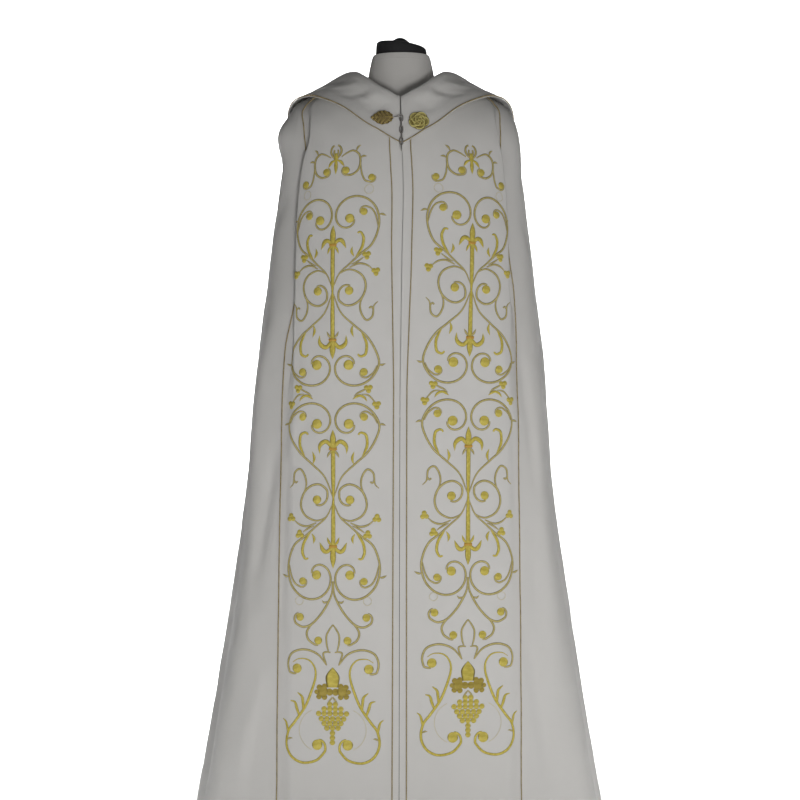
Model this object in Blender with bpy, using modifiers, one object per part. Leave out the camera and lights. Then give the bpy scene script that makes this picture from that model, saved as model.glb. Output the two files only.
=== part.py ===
"""A cope, the long open mantle of a church vestment set, on a limbless dress form.

Metres, +Z up, the fronts face -Y. The origin is the middle of the stand's underside.
Each level of the cloth is a section that runs from the front opening round to the centre
back, once for each side. Along a section, "cloth" is the distance in cloth from the opening.
"""

import math

import bmesh
import bpy
import numpy as np
from mathutils import Matrix, Vector

OBJECT_NAME = "cope_on_dress_form"

# Garment, driving dimensions
NECK_HEIGHT = 1.478  # floor to the point where the fronts meet at the neck
CLOTH_WALL = 0.0015
SEAM_GAP = 0.0003
OPENING_GAP = 0.0010
SEAM_MARGIN = 0.0022  # narrow column beside the outer seam
PIPING_WIDTH = 0.0030
PIPING_HEIGHT = 0.0014
PIPING_SECTION = (-0.5, 0.5, 0.22, -0.22)  # shares of its width across the seam, base then top
PIPING_RISE = (0.0, 0.0, 1.0, 1.0)  # shares of its height
HOOD_WALL = 0.0015
HOOD_PIPING_GAP = 0.0010
HOOD_PIPING_SECTION = (0.07, 1.0, 0.78, 0.28)  # the same, inwards from the hood's edge

# Clasp and its chain
LEAF = {"x": -0.0355, "z": 1.4440, "length": 0.0460, "height": 0.0310, "taper": 0.55, "steps": 36}
ROSE = {"x": 0.0370, "z": 1.4375, "radius": 0.0210, "petals": 6, "notch": 0.06, "steps": 6}
PLATE_LIFT = 0.0020
PLATE_THICKNESS = 0.0045
CHAIN_X = 0.0035
EYE_WIDTH = 0.0080
EYE_LENGTH = 0.0150
LINK_LENGTH = 0.0160
LINK_WIDTH = 0.0076
LINK_WIRE = 0.0017
LINK_COUNT = 5
LINK_PLAY = 0.0003
CHAIN_STANDOFF = 0.0085  # middle of the wires in front of the hood's face at the leaf
CHAIN_SLOPE = math.radians(14)  # the chain lies back on the slope of the hood
EYE_STEP = 0.0035  # the wire leaves the leaf this far behind the middle of the chain
EYE_GAP = 0.0008
EYE_LEAD = 0.0035  # straight wire beside the leaf
EYE_BEND = 2.0  # radii of the eye before which the wire starts to rise
EYE_TOP = -0.2  # radii of the eye from its middle to the centre of its upper bend
EYE_START = 0.75 * math.pi
EYE_CLOSE = 1.15  # wires left open where the eye meets itself
HOOD_FRONT = -0.11  # y ahead of which the hood's outside lies at the clasp

# Stand and dress form
BASE_RADIUS = 0.170
BASE_THICKNESS = 0.012
POLE_RADIUS = 0.016
TORSO_BOTTOM = 0.850
CAP_GAP = 0.0004
BASE_SIDES = 48
POLE_SIDES = 24
BASE_BEVEL = 0.003
CLOTH_SHARP = math.radians(50)
STAND_SHARP = math.radians(40)

# Levels of the cope, a row each. Drop is the height below NECK_HEIGHT at the opening; the rises
# say how much higher the section runs at the side and at the centre back; the square columns
# are the exponents of the rounded outline, 2 for an ellipse and more for a flatter front.
SHAPE_COLUMNS = "drop side_rise back_rise half_width front back front_square back_square"
SHAPE_ROWS = (
    (0.000, 0.054, 0.070, 0.082, 0.110, 0.074, 2.0, 2.0),
    (0.023, 0.070, 0.070, 0.126, 0.122, 0.100, 2.1, 2.1),
    (0.058, 0.088, 0.072, 0.178, 0.134, 0.122, 2.2, 2.1),
    (0.098, 0.099, 0.068, 0.220, 0.144, 0.137, 2.3, 2.2),
    (0.143, 0.090, 0.058, 0.2395, 0.151, 0.146, 2.4, 2.2),
    (0.208, 0.054, 0.042, 0.2485, 0.158, 0.154, 2.5, 2.3),
    (0.298, 0.020, 0.020, 0.262, 0.164, 0.164, 2.6, 2.3),
    (0.378, 0.000, 0.000, 0.272, 0.168, 0.172, 2.7, 2.3),
    (0.578, 0.000, 0.000, 0.296, 0.175, 0.188, 2.7, 2.3),
    (0.778, 0.000, 0.000, 0.309, 0.182, 0.202, 2.7, 2.3),
    (0.978, 0.000, 0.000, 0.333, 0.189, 0.216, 2.7, 2.3),
    (1.178, 0.000, 0.000, 0.362, 0.196, 0.230, 2.7, 2.3),
    (1.428, 0.000, 0.000, 0.400, 0.205, 0.248, 2.7, 2.3),
)

# How far the opening leans to +x and the whole level sways; the width of the strips of cloth
# between the opening and the inner pipings; and the cloth from the opening to the outer piping.
FRONT_COLUMNS = "drop lean sway strip_left strip_right orphrey_edge"
FRONT_ROWS = (
    (0.000, 0.0005, 0.0000, 0.0240, 0.0180, 0.1640),
    (0.050, 0.0020, 0.0002, 0.0240, 0.0178, 0.2190),
    (0.090, 0.0030, 0.0005, 0.0240, 0.0175, 0.2480),
    (0.120, 0.0030, 0.0020, 0.0240, 0.0180, 0.2540),
    (0.180, 0.0030, 0.0035, 0.0225, 0.0190, 0.2555),
    (0.300, 0.0010, 0.0030, 0.0205, 0.0190, 0.2535),
    (0.430, 0.0005, 0.0015, 0.0165, 0.0165, 0.2460),
    (0.590, 0.0000, 0.0000, 0.0125, 0.0135, 0.2435),
    (1.428, -0.0010, -0.0010, 0.0138, 0.0144, 0.2435),
)

# A small puff where the cloth turns over the right-hand shoulder of the wearer
PUFF = {"side": "left", "place": 0.485, "reach": 0.075, "drop": 0.146, "fall": 0.042, "height": 0.013}

# The deep shoulder fold on each side: where its front edge shows, the swing of the cloth back
# under it, and how far the cloth beside it lies below the front.
FOLD_COLUMNS = "drop edge_left swing_left edge_right swing_right recess"
FOLD_ROWS = (
    (0.040, 0.150, 0.0000, 0.155, 0.0000, 0.000),
    (0.085, 0.186, 0.0030, 0.192, 0.0030, 0.006),
    (0.115, 0.186, 0.0100, 0.194, 0.0090, 0.011),
    (0.168, 0.202, 0.0140, 0.204, 0.0120, 0.014),
    (0.225, 0.2105, 0.0140, 0.211, 0.0115, 0.014),
    (0.300, 0.2130, 0.0140, 0.216, 0.0100, 0.014),
    (0.365, 0.2140, 0.0130, 0.220, 0.0060, 0.012),
    (0.430, 0.2155, 0.0090, 0.225, 0.0020, 0.010),
    (0.500, 0.2170, 0.0045, 0.225, 0.0000, 0.008),
    (0.640, 0.220, 0.0000, 0.225, 0.0000, 0.005),
    (0.900, 0.222, 0.0000, 0.225, 0.0000, 0.003),
    (1.428, 0.225, 0.0000, 0.225, 0.0000, 0.006),
)
FOLD_SPAN = 0.030  # base line that the fold takes up
FOLD_EASE = 0.080  # base line over which the recess closes again
FOLD_LEAD = 0.6  # share of the swing by which the fold starts early
FOLD_BENDS = (0.18, 0.58)  # shares of the fold where its outer and its inner bend begin
FOLD_BEND_REACH = 0.24
FOLD_FULL_SWING = 0.0048  # from this swing on, the cloth doubles back and the bends are round
FOLD_TURNS = (0.00, 0.20, 0.30, 0.40, 0.60, 0.70, 0.82)  # shares of the fold with a column each

# Flutes, a row each: share of the half section where the crest or groove lies, its half width
# as such a share, its height at the hem (a groove's is negative), and the drop where it starts.
FLUTE_COLUMNS = "place reach height start"
FLUTES_LEFT = (
    (0.375, 0.085, 0.014, 0.30),
    (0.470, 0.060, -0.010, 0.35),
    (0.545, 0.065, 0.026, 0.20),
    (0.635, 0.055, -0.030, 0.25),
    (0.715, 0.060, 0.028, 0.35),
    (0.795, 0.050, -0.034, 0.22),
    (0.880, 0.060, 0.030, 0.30),
    (0.950, 0.048, -0.022, 0.40),
)
FLUTES_RIGHT = (
    (0.385, 0.080, 0.016, 0.34),
    (0.465, 0.050, -0.014, 0.28),
    (0.535, 0.055, 0.021, 0.16),
    (0.620, 0.060, -0.034, 0.24),
    (0.705, 0.055, 0.026, 0.40),
    (0.785, 0.055, -0.026, 0.30),
    (0.870, 0.055, 0.034, 0.20),
    (0.951, 0.049, -0.026, 0.32),
)
FLUTE_GROWTH = 1.25  # power by which a flute opens towards the hem

# Levels at which the wall is built, and columns of cloth on each panel
WALL_DROPS = (
    0.000, 0.030, 0.060, 0.088, 0.115, 0.142, 0.175, 0.215, 0.265, 0.320,
    0.380, 0.440, 0.520, 0.640, 0.780, 0.920, 1.060, 1.200, 1.320, 1.428,
)
STRIP_COLUMNS = 3
FOLD_COLUMN_GAPS = (0.0055, 0.0022)  # least cloth between columns before the seam: flat, doubled
ORPHREY_FLAT_COLUMNS = 4
BODY_NEAR_COLUMNS = (0.0000, 0.0022, 0.0070, 0.0125, 0.0200, 0.0320)  # cloth behind the outer seam
BODY_BACK_COLUMNS = 21

# The hood, a row for each direction, from the front (0) to the centre back (1): the drop of its
# lower edge, the rise of its rolled crest above the neckline, and the fullness of the roll.
HOOD_COLUMNS = "turn edge crest roll"
HOOD_ROWS = (
    (0.00, 0.088, 0.012, 0.002),
    (0.10, 0.063, 0.022, 0.008),
    (0.25, 0.050, 0.024, 0.018),
    (0.40, 0.062, 0.020, 0.022),
    (0.50, 0.088, 0.016, 0.022),
    (0.60, 0.128, 0.014, 0.020),
    (0.75, 0.230, 0.014, 0.018),
    (0.90, 0.325, 0.014, 0.018),
    (1.00, 0.350, 0.014, 0.018),
)
# Up the inside of the roll, over the crest and down to the edge: share of the way down to the
# edge, share of the crest's rise, reach outwards, and share of the roll's fullness.
HOOD_RUN_COLUMNS = "along rise outward roll"
HOOD_RUN_ROWS = (
    (0.00, 0.22, -0.0020, 0.0),
    (0.00, 0.75, -0.0010, 0.0),
    (0.00, 1.00, 0.0050, 0.0),
    (0.07, 0.70, 0.0075, 0.3),
    (0.14, 0.40, 0.0080, 0.5),
    (0.22, 0.10, 0.0080, 0.5),
    (0.32, 0.00, 0.0080, 0.3),
    (0.44, 0.00, 0.0084, 0.1),
    (0.58, 0.00, 0.0086, 0.0),
    (0.72, 0.00, 0.0086, 0.0),
    (0.86, 0.00, 0.0084, 0.0),
    (1.00, 0.00, 0.0080, 0.0),
)
HOOD_SECTIONS = 22
HOOD_TURN_START = 0.0035
HOOD_TURN_END = 0.9990
SPOT_TURNS = (0.002, 0.35, 120)  # first and last direction and their count, where the clasp is laid on
SPOT_STEPS = 12  # steps on each run between two rows of the hood

# The dress form, a row for each ring, from the top of the neck to the hip
FORM_COLUMNS = "front_height side_height back_height half_width front back"
FORM_ROWS = (
    (1.588, 1.588, 1.588, 0.0585, 0.055, 0.055),
    (1.560, 1.560, 1.562, 0.0650, 0.060, 0.058),
    (1.515, 1.538, 1.545, 0.0690, 0.066, 0.061),
    (1.478, 1.520, 1.528, 0.080, 0.088, 0.068),
    (1.440, 1.510, 1.503, 0.122, 0.106, 0.086),
    (1.405, 1.489, 1.468, 0.166, 0.116, 0.106),
    (1.360, 1.455, 1.420, 0.198, 0.122, 0.119),
    (1.310, 1.400, 1.360, 0.208, 0.125, 0.124),
    (1.240, 1.280, 1.280, 0.190, 0.122, 0.118),
    (1.150, 1.160, 1.160, 0.158, 0.108, 0.104),
    (1.060, 1.060, 1.060, 0.132, 0.092, 0.092),
    (0.960, 0.960, 0.960, 0.148, 0.104, 0.110),
    (0.890, 0.890, 0.890, 0.154, 0.108, 0.116),
    (0.850, 0.850, 0.850, 0.146, 0.102, 0.110),
)
FORM_SIDES = 40
FORM_SQUARE = 2.2
NECK_TOP = FORM_ROWS[0][0]
NECK_SWAY = 0.0025
NECK_SWAY_START = 1.50
NECK_SWAY_REACH = 0.05

# The cap on the neck, a row for each ring: radius, height over the neck, share of its tilt
CAP_ROWS = (
    (0.0525, 0.0000, 0.0),
    (0.0520, 0.0120, 0.5),
    (0.0505, 0.0205, 1.0),
    (0.0470, 0.0235, 1.0),
    (0.0260, 0.0265, 1.0),
    (0.0080, 0.0370, 1.0),
    (0.0020, 0.0385, 1.0),
)
CAP_TILT = 0.13
CAP_SIDES = 32

COLOURS = {
    "cloth": ((0.62, 0.60, 0.58, 1.0), 0.75, 0.0),
    "gold_piping": ((0.42, 0.33, 0.15, 1.0), 0.45, 0.2),
    "gold_metal": ((0.62, 0.47, 0.16, 1.0), 0.35, 1.0),
    "steel": ((0.55, 0.54, 0.52, 1.0), 0.30, 1.0),
    "form_cover": ((0.60, 0.58, 0.56, 1.0), 0.85, 0.0),
    "form_cap": ((0.012, 0.012, 0.014, 1.0), 0.55, 0.0),
    "stand_paint": ((0.08, 0.08, 0.09, 1.0), 0.40, 0.0),
}


def table(columns, rows):
    """The rows as one array for each named column."""
    names = columns.split()
    return {name: np.array([row[i] for row in rows]) for i, name in enumerate(names)}


SHAPE = table(SHAPE_COLUMNS, SHAPE_ROWS)
FRONT = table(FRONT_COLUMNS, FRONT_ROWS)
FOLD = table(FOLD_COLUMNS, FOLD_ROWS)
HOOD = table(HOOD_COLUMNS, HOOD_ROWS)
HOOD_RUN = table(HOOD_RUN_COLUMNS, HOOD_RUN_ROWS)
FLUTES = {"left": table(FLUTE_COLUMNS, FLUTES_LEFT), "right": table(FLUTE_COLUMNS, FLUTES_RIGHT)}
SIGN = {"left": -1.0, "right": 1.0}


def column(rows, name, at, key="drop"):
    """A column's value at a key, on a smooth line through its rows that never overshoots."""
    keys, values = rows[key], rows[name]
    steps = np.diff(keys)
    slopes = np.diff(values) / steps
    tangents = np.zeros(len(values))
    tangents[0], tangents[-1] = slopes[0], slopes[-1]
    for i in range(1, len(values) - 1):
        if slopes[i - 1] * slopes[i] > 0:
            tangents[i] = 2 * slopes[i - 1] * slopes[i] / (slopes[i - 1] + slopes[i])
    at = min(max(at, keys[0]), keys[-1])
    i = min(int(np.searchsorted(keys, at, side="right")) - 1, len(steps) - 1)
    t = (at - keys[i]) / steps[i]
    start = values[i] * (1 + 2 * t) * (1 - t) ** 2 + tangents[i] * steps[i] * t * (1 - t) ** 2
    end = values[i + 1] * t * t * (3 - 2 * t) - tangents[i + 1] * steps[i] * t * t * (1 - t)
    return start + end


def ease(t):
    """0 before 0, 1 after 1, and a soft S between."""
    t = np.clip(t, 0.0, 1.0)
    return t * t * (3 - 2 * t)


def outline(angles, half_width, front, back, front_square, back_square):
    """x and y of a rounded outline: angle 0 is the front, pi/2 the side, pi the back."""
    ahead = np.cos(angles) >= 0
    power = np.where(ahead, 2 / front_square, 2 / back_square)
    x = half_width * np.abs(np.sin(angles)) ** power
    y = np.where(ahead, -front, back) * np.abs(np.cos(angles)) ** power
    return x, y


def base_points(drop, angles):
    """The cope's level line on the +x side, before folds and flutes."""
    row = {name: column(SHAPE, name, drop) for name in SHAPE if name != "drop"}
    x, y = outline(
        angles, row["half_width"], row["front"], row["back"], row["front_square"], row["back_square"]
    )
    front_height = NECK_HEIGHT - drop
    end_rise = np.where(np.cos(angles) >= 0, 0.0, row["back_rise"])
    rise = row["side_rise"] + (end_rise - row["side_rise"]) * np.cos(angles) ** 2
    return np.stack([x, y, front_height + rise], axis=1)


def along(points):
    """Distance from the first point to each."""
    return np.concatenate([[0.0], np.cumsum(np.linalg.norm(np.diff(points, axis=0), axis=1))])


def at_length(points, lengths, wanted):
    return np.stack([np.interp(wanted, lengths, points[:, k]) for k in range(3)], axis=1)


def unit(vectors):
    return vectors / np.linalg.norm(vectors, axis=1, keepdims=True)


RING_ANGLES = np.linspace(0.0, math.pi, 721)
WALK_STEPS = 1201  # points along a level line
DROP_STEP = 0.004  # drop and cloth to either side over which a normal is measured
CLOTH_STEP = 0.0012
FULL_DROP = SHAPE["drop"][-1]


def base_line(drop):
    """Points, outward normals and lengths of a level line on the +x side."""
    points = base_points(drop, RING_ANGLES)
    below = base_points(min(drop + DROP_STEP, FULL_DROP), RING_ANGLES)
    above = base_points(max(drop - DROP_STEP, 0.0), RING_ANGLES)
    normals = unit(np.cross(np.gradient(points, axis=0), above - below))
    return points, normals, along(points)


def flute(side, share, drop):
    """Height of the flutes of one side along a level line."""
    height = np.zeros_like(share)
    rows = FLUTES[side]
    for place, reach, crest, start in zip(*(rows[name] for name in FLUTE_COLUMNS.split())):
        grown = max(drop - start, 0.0) / (FULL_DROP - start)
        lobe = np.cos(np.clip((share - place) / reach, -1, 1) * math.pi / 2) ** 2
        height += crest * grown**FLUTE_GROWTH * lobe
    if side == PUFF["side"]:
        across = np.clip((share - PUFF["place"]) / PUFF["reach"], -1, 1)
        down = min(abs(drop - PUFF["drop"]) / PUFF["fall"], 1.0)
        height += PUFF["height"] * np.cos(across * math.pi / 2) ** 2 * math.cos(down * math.pi / 2) ** 2
    return height


def fold_start(side, drop):
    """Where the shoulder fold begins, as a length of the level line."""
    points, normals, lengths = base_line(drop)
    front_half = RING_ANGLES <= math.pi / 2
    edge = np.interp(column(FOLD, "edge_" + side, drop), points[front_half, 0], lengths[front_half])
    return edge - FOLD_SPAN / 2 - FOLD_LEAD * column(FOLD, "swing_" + side, drop)


def doubled(side, drop):
    """1 where the cloth doubles back under the fold, 0 where it only steps down."""
    return min(column(FOLD, "swing_" + side, drop) / FOLD_FULL_SWING, 1.0)


def fold_fall(turn, share):
    """Part of the recess reached along the fold: one slope, or a bend at each edge of the swing."""
    bends = [ease((turn - start) / FOLD_BEND_REACH) / 2 for start in FOLD_BENDS]
    return (1 - share) * ease(turn) + share * (bends[0] + bends[1])


def cloth_line(side, drop):
    """Points of the cope's face at a level, from the opening to the centre back, and lengths."""
    points, normals, lengths = base_line(drop)
    whole = lengths[-1]
    swing = column(FOLD, "swing_" + side, drop)
    recess = column(FOLD, "recess", drop)
    start = fold_start(side, drop)
    walk = np.linspace(0.0, whole, WALK_STEPS)
    turn = np.clip((walk - start) / FOLD_SPAN, 0.0, 1.0)
    place = walk + swing * np.sin(2 * math.pi * turn)
    closing = ease((walk - start - FOLD_SPAN) / FOLD_EASE)
    lift = flute(side, place / whole, drop) - recess * fold_fall(turn, doubled(side, drop)) * (1 - closing)
    face = at_length(points, lengths, place)
    face += at_length(normals, lengths, place) * lift[:, None]
    face[:, 0] *= SIGN[side]
    face[:, 0] += sideways_shift(drop, face[:, 1])
    return face, along(face)


def sideways_shift(drop, y):
    """The level's sway, and at the front the lean of the opening."""
    ahead = np.clip(-y / column(SHAPE, "front", drop), 0.0, 1.0)
    return column(FRONT, "sway", drop) + column(FRONT, "lean", drop) * ahead**2


LINES = {}


def line_of(side, drop):
    key = (side, round(drop, 6))
    if key not in LINES:
        LINES[key] = cloth_line(side, drop)
    return LINES[key]


def cloth_face(side, drop, cloth):
    """Points of the cope's face at distances in cloth from the opening, and outward normals."""
    points, lengths = line_of(side, drop)
    low, high = max(drop - DROP_STEP, 0.0), min(drop + DROP_STEP, FULL_DROP)
    ahead = at_length(points, lengths, cloth + CLOTH_STEP)
    sideways = ahead - at_length(points, lengths, cloth - CLOTH_STEP)
    upwards = at_length(*line_of(side, low), cloth) - at_length(*line_of(side, high), cloth)
    normals = unit(np.cross(sideways, upwards)) * SIGN[side]
    return at_length(points, lengths, cloth), normals


def fold_columns(side, drop):
    """Distances in cloth from the opening to the turns of the shoulder fold."""
    walk = np.linspace(0.0, base_line(drop)[2][-1], WALK_STEPS)
    turns = fold_start(side, drop) + np.array(FOLD_TURNS) * FOLD_SPAN
    return np.interp(turns, walk, line_of(side, drop)[1])


def inner_seam(side, drop):
    return column(FRONT, "strip_" + side, drop)


def outer_seam(side, drop):
    return column(FRONT, "orphrey_edge", drop)


def strip_columns(side, drop):
    return np.linspace(OPENING_GAP / 2, inner_seam(side, drop) - SEAM_GAP / 2, STRIP_COLUMNS)


def orphrey_columns(side, drop):
    """Even columns on the flat of the orphrey, and close ones through the shoulder fold."""
    first = inner_seam(side, drop) + SEAM_GAP / 2
    last = outer_seam(side, drop) - SEAM_GAP / 2
    gap = np.interp(doubled(side, drop), [0.0, 1.0], FOLD_COLUMN_GAPS)
    folded = fold_columns(side, drop)
    for i in range(1, len(folded)):
        folded[i] = max(folded[i], folded[i - 1] + gap)
    folded = np.minimum(folded, last - SEAM_MARGIN - gap * np.arange(len(folded), 0, -1))
    flat = np.linspace(first, folded[0], ORPHREY_FLAT_COLUMNS + 1)[:-1]
    return np.concatenate([flat, folded, [last - SEAM_MARGIN, last]])


def body_columns(side, drop):
    """Close columns behind the outer piping, then even ones to the centre back."""
    end = line_of(side, drop)[1][-1] - SEAM_GAP / 2
    near = outer_seam(side, drop) + SEAM_GAP / 2 + np.array(BODY_NEAR_COLUMNS)
    return np.concatenate([near, np.linspace(near[-1], end, BODY_BACK_COLUMNS + 1)[1:]])


def material(name):
    made = bpy.data.materials.get(name)
    if made is None:
        colour, roughness, metallic = COLOURS[name]
        made = bpy.data.materials.new(name)
        made.use_nodes = True
        shader = made.node_tree.nodes["Principled BSDF"]
        shader.inputs["Base Color"].default_value = colour
        shader.inputs["Roughness"].default_value = roughness
        shader.inputs["Metallic"].default_value = metallic
        made.diffuse_color = colour
    return made


def start_scene():
    for old in list(bpy.data.objects):
        bpy.data.objects.remove(old)
    collection = bpy.data.collections.new(OBJECT_NAME)
    bpy.context.scene.collection.children.link(collection)
    return collection


PARTS = start_scene()


def add_object(name, data, finish):
    made = bpy.data.objects.new(name, data)
    data.materials.append(material(finish))
    PARTS.objects.link(made)
    return made


def add_mesh(name, points, faces, finish, smooth=True):
    mesh = bpy.data.meshes.new(name)
    mesh.from_pydata([tuple(point) for point in points], [], faces)
    if smooth:
        mesh.shade_smooth()
        mesh.set_sharp_from_angle(angle=CLOTH_SHARP)
    return add_object(name, mesh, finish)


def add_wall(name, outer, inner, finish):
    """A closed wall between two grids of points, levels by columns, outer facing outwards.

    Both faces are split along the same diagonal, so the wall keeps its thickness, and so are the
    two side edges, so that the edges of neighbouring walls match along their seam.
    """
    levels, columns = outer.shape[:2]
    count = levels * columns
    grid = np.arange(count).reshape(levels, columns)
    faces = []

    def strip(first, second, turned=False):
        """Triangles between two rows of point numbers, facing the other way when turned."""
        for a, b, c, d in zip(first[:-1], first[1:], second[1:], second[:-1]):
            pair = [(a, b, c), (a, c, d)]
            faces.extend([face[::-1] for face in pair] if turned else pair)

    for level in range(levels - 1):
        strip(grid[level + 1], grid[level])
        strip(grid[level + 1] + count, grid[level] + count, turned=True)
    strip(grid[0], grid[0] + count)
    strip(grid[-1] + count, grid[-1])
    strip(grid[:, 0], grid[:, 0] + count, turned=True)
    strip(grid[:, -1], grid[:, -1] + count)
    faces = [tuple(int(i) for i in face) for face in faces]
    points = np.concatenate([outer.reshape(-1, 3), inner.reshape(-1, 3)])
    return add_mesh(name, points, faces, finish)


def in_order(side, grid):
    """Columns run to +x seen from the front, so that a wall's faces point out on both sides."""
    return grid if side == "right" else grid[:, ::-1]


def add_panel(name, side, columns_of):
    outer, inner = [], []
    for drop in WALL_DROPS:
        face, normals = cloth_face(side, drop, columns_of(side, drop))
        outer.append(face)
        inner.append(face - normals * CLOTH_WALL)
    return add_wall(name, in_order(side, np.array(outer)), in_order(side, np.array(inner)), "cloth")


def add_ridge(name, rings, finish):
    """A closed strip through rings of four points each."""
    count = len(rings)
    faces = []
    for level in range(count - 1):
        for k in range(4):
            a, b = level * 4 + k, level * 4 + (k + 1) % 4
            faces.extend([(a, b, b + 4), (a, b + 4, a + 4)])
    last = (count - 1) * 4
    faces.extend([(2, 1, 0), (3, 2, 0), (last, last + 1, last + 2), (last, last + 2, last + 3)])
    points = np.concatenate(rings)
    made = add_mesh(name, points, faces, finish)
    turn_outwards(made)
    return made


def turn_outwards(made):
    editing = bmesh.new()
    editing.from_mesh(made.data)
    bmesh.ops.recalc_face_normals(editing, faces=editing.faces)
    editing.to_mesh(made.data)
    editing.free()


def add_piping(name, side, cloth_of):
    """Cord-like strip over a seam: flat below, narrower on top."""
    rings = []
    for drop in WALL_DROPS:
        middle = cloth_of(side, drop)
        reach = np.array(PIPING_SECTION) * PIPING_WIDTH
        height = SEAM_GAP + np.array(PIPING_RISE) * PIPING_HEIGHT
        face, normals = cloth_face(side, drop, middle + reach)
        rings.append(face + normals * height[:, None])
    add_ridge(name, rings, "gold_piping")


def hood_point(side, turn, run):
    """A point of the hood's face, in one direction and at one step of the run over the roll."""
    edge = column(HOOD, "edge", turn, "turn")
    crest = column(HOOD, "crest", turn, "turn")
    roll = column(HOOD, "roll", turn, "turn")
    drop = run["along"] * edge
    points, normals, lengths = base_line(drop)
    at = np.array([turn * lengths[-1]])
    point = at_length(points, lengths, at)[0]
    normal = unit(at_length(normals, lengths, at))[0]
    flat = np.array([normal[0], normal[1], 0.0])
    level = flat / np.linalg.norm(flat)
    outward = level if run["along"] == 0 else normal
    point = point + outward * (run["outward"] + roll * run["roll"])
    point[2] += crest * run["rise"]
    point[0] = SIGN[side] * point[0] + float(sideways_shift(drop, point[1]))
    return point


def hood_grid(side, turns):
    """Hood face points and outward normals, a row for each step of the run."""
    steps = [{name: HOOD_RUN[name][i] for name in HOOD_RUN} for i in range(len(HOOD_RUN["along"]))]
    grid = np.array([[hood_point(side, turn, run) for turn in turns] for run in steps])
    sideways = np.gradient(grid, axis=1)
    upwards = -np.gradient(grid, axis=0)
    normals = np.cross(sideways, upwards) * SIGN[side]
    return grid, normals / np.linalg.norm(normals, axis=2, keepdims=True)


def hood_turns():
    """Directions of the hood's columns, a little short of the opening and of the back seam."""
    return np.linspace(HOOD_TURN_START, HOOD_TURN_END, HOOD_SECTIONS)


def add_hood(side):
    outer, normals = hood_grid(side, hood_turns())
    inner = outer - normals * HOOD_WALL
    add_wall("hood_" + side, in_order(side, outer), in_order(side, inner), "cloth")
    edge, edge_normals, above = outer[-1], normals[-1], outer[-2]
    inwards = unit(above - edge)
    rings = []
    for k in range(len(edge)):
        reach = np.array(HOOD_PIPING_SECTION)[:, None] * PIPING_WIDTH
        height = HOOD_PIPING_GAP + np.array(PIPING_RISE)[:, None] * PIPING_HEIGHT
        rings.append(edge[k] + inwards[k] * reach + edge_normals[k] * height)
    add_ridge("piping_hood_" + side, rings, "gold_piping")


def hood_spot(side, x, z):
    """Where the hood's face lies at this x and z: a frame with z outwards and y up the hood."""
    grid, normals = hood_grid(side, np.linspace(*SPOT_TURNS))
    finer = np.linspace(0, len(grid) - 1, SPOT_STEPS * (len(grid) - 1) + 1)
    low = np.minimum(finer.astype(int), len(grid) - 2)
    share = (finer - low)[:, None, None]
    points = (grid[low] * (1 - share) + grid[low + 1] * share).reshape(-1, 3)
    ways = (normals[low] * (1 - share) + normals[low + 1] * share).reshape(-1, 3)
    outside = points[:, 1] < HOOD_FRONT
    distance = np.hypot(points[:, 0] - x, points[:, 2] - z) + np.where(outside, 0.0, 1.0)
    best = int(np.argmin(distance))
    out = Vector(ways[best]).normalized()
    up = (Vector((0, 0, 1)) - out * out.z).normalized()
    right = up.cross(out)
    frame = Matrix((right, up, out)).transposed().to_4x4()
    frame.translation = Vector((x, points[best][1], z))
    return frame


def poly_curve(name, points, finish, cyclic=False):
    curve = bpy.data.curves.new(name, "CURVE")
    curve.dimensions = "3D"
    spline = curve.splines.new("POLY")
    spline.points.add(len(points) - 1)
    for place, point in zip(spline.points, points):
        place.co = (*point, 1.0)
    spline.use_cyclic_u = cyclic
    return add_object(name, curve, finish)


def add_wire(name, points, radius, finish, cyclic=False):
    made = poly_curve(name, points, finish, cyclic)
    made.data.bevel_depth = radius
    made.data.bevel_resolution = 2
    made.data.use_fill_caps = not cyclic
    return made


def add_plate(name, outline_points, frame):
    """A flat cast plate of the outline, its back PLATE_LIFT off the hood."""
    made = poly_curve(name, [(x, y, 0.0) for x, y in outline_points], "gold_metal", cyclic=True)
    made.data.dimensions = "2D"
    made.data.fill_mode = "BOTH"
    made.data.extrude = PLATE_THICKNESS / 2
    made.matrix_world = frame @ Matrix.Translation((0, 0, PLATE_LIFT + PLATE_THICKNESS / 2))
    return made


def leaf_outline():
    """An oval drawn out to a point at its -x end."""
    points = []
    for angle in np.linspace(0.0, 2 * math.pi, LEAF["steps"], endpoint=False):
        taper = 1 - LEAF["taper"] * max(-math.cos(angle), 0.0) ** 3
        x = LEAF["length"] / 2 * math.cos(angle)
        y = LEAF["height"] / 2 * math.sin(angle) * taper
        points.append((x, y))
    return points


def rose_outline():
    """A round with a shallow notch between each two petals."""
    petals = ROSE["petals"]
    points = []
    for angle in np.linspace(0.0, 2 * math.pi, petals * ROSE["steps"], endpoint=False):
        reach = ROSE["radius"] * (1 - ROSE["notch"] * (0.5 - 0.5 * math.cos(petals * angle)))
        points.append((reach * math.cos(angle), reach * math.sin(angle)))
    return points


def stadium(length, width):
    """Middle line of a link: two half rounds and straight sides, top first, in x and y."""
    radius = width / 2
    straight = length / 2 - radius
    upper = [(radius * math.cos(a), straight + radius * math.sin(a)) for a in np.linspace(0, math.pi, 7)]
    lower = [(-x, -y) for x, y in upper]
    return upper + lower


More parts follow.
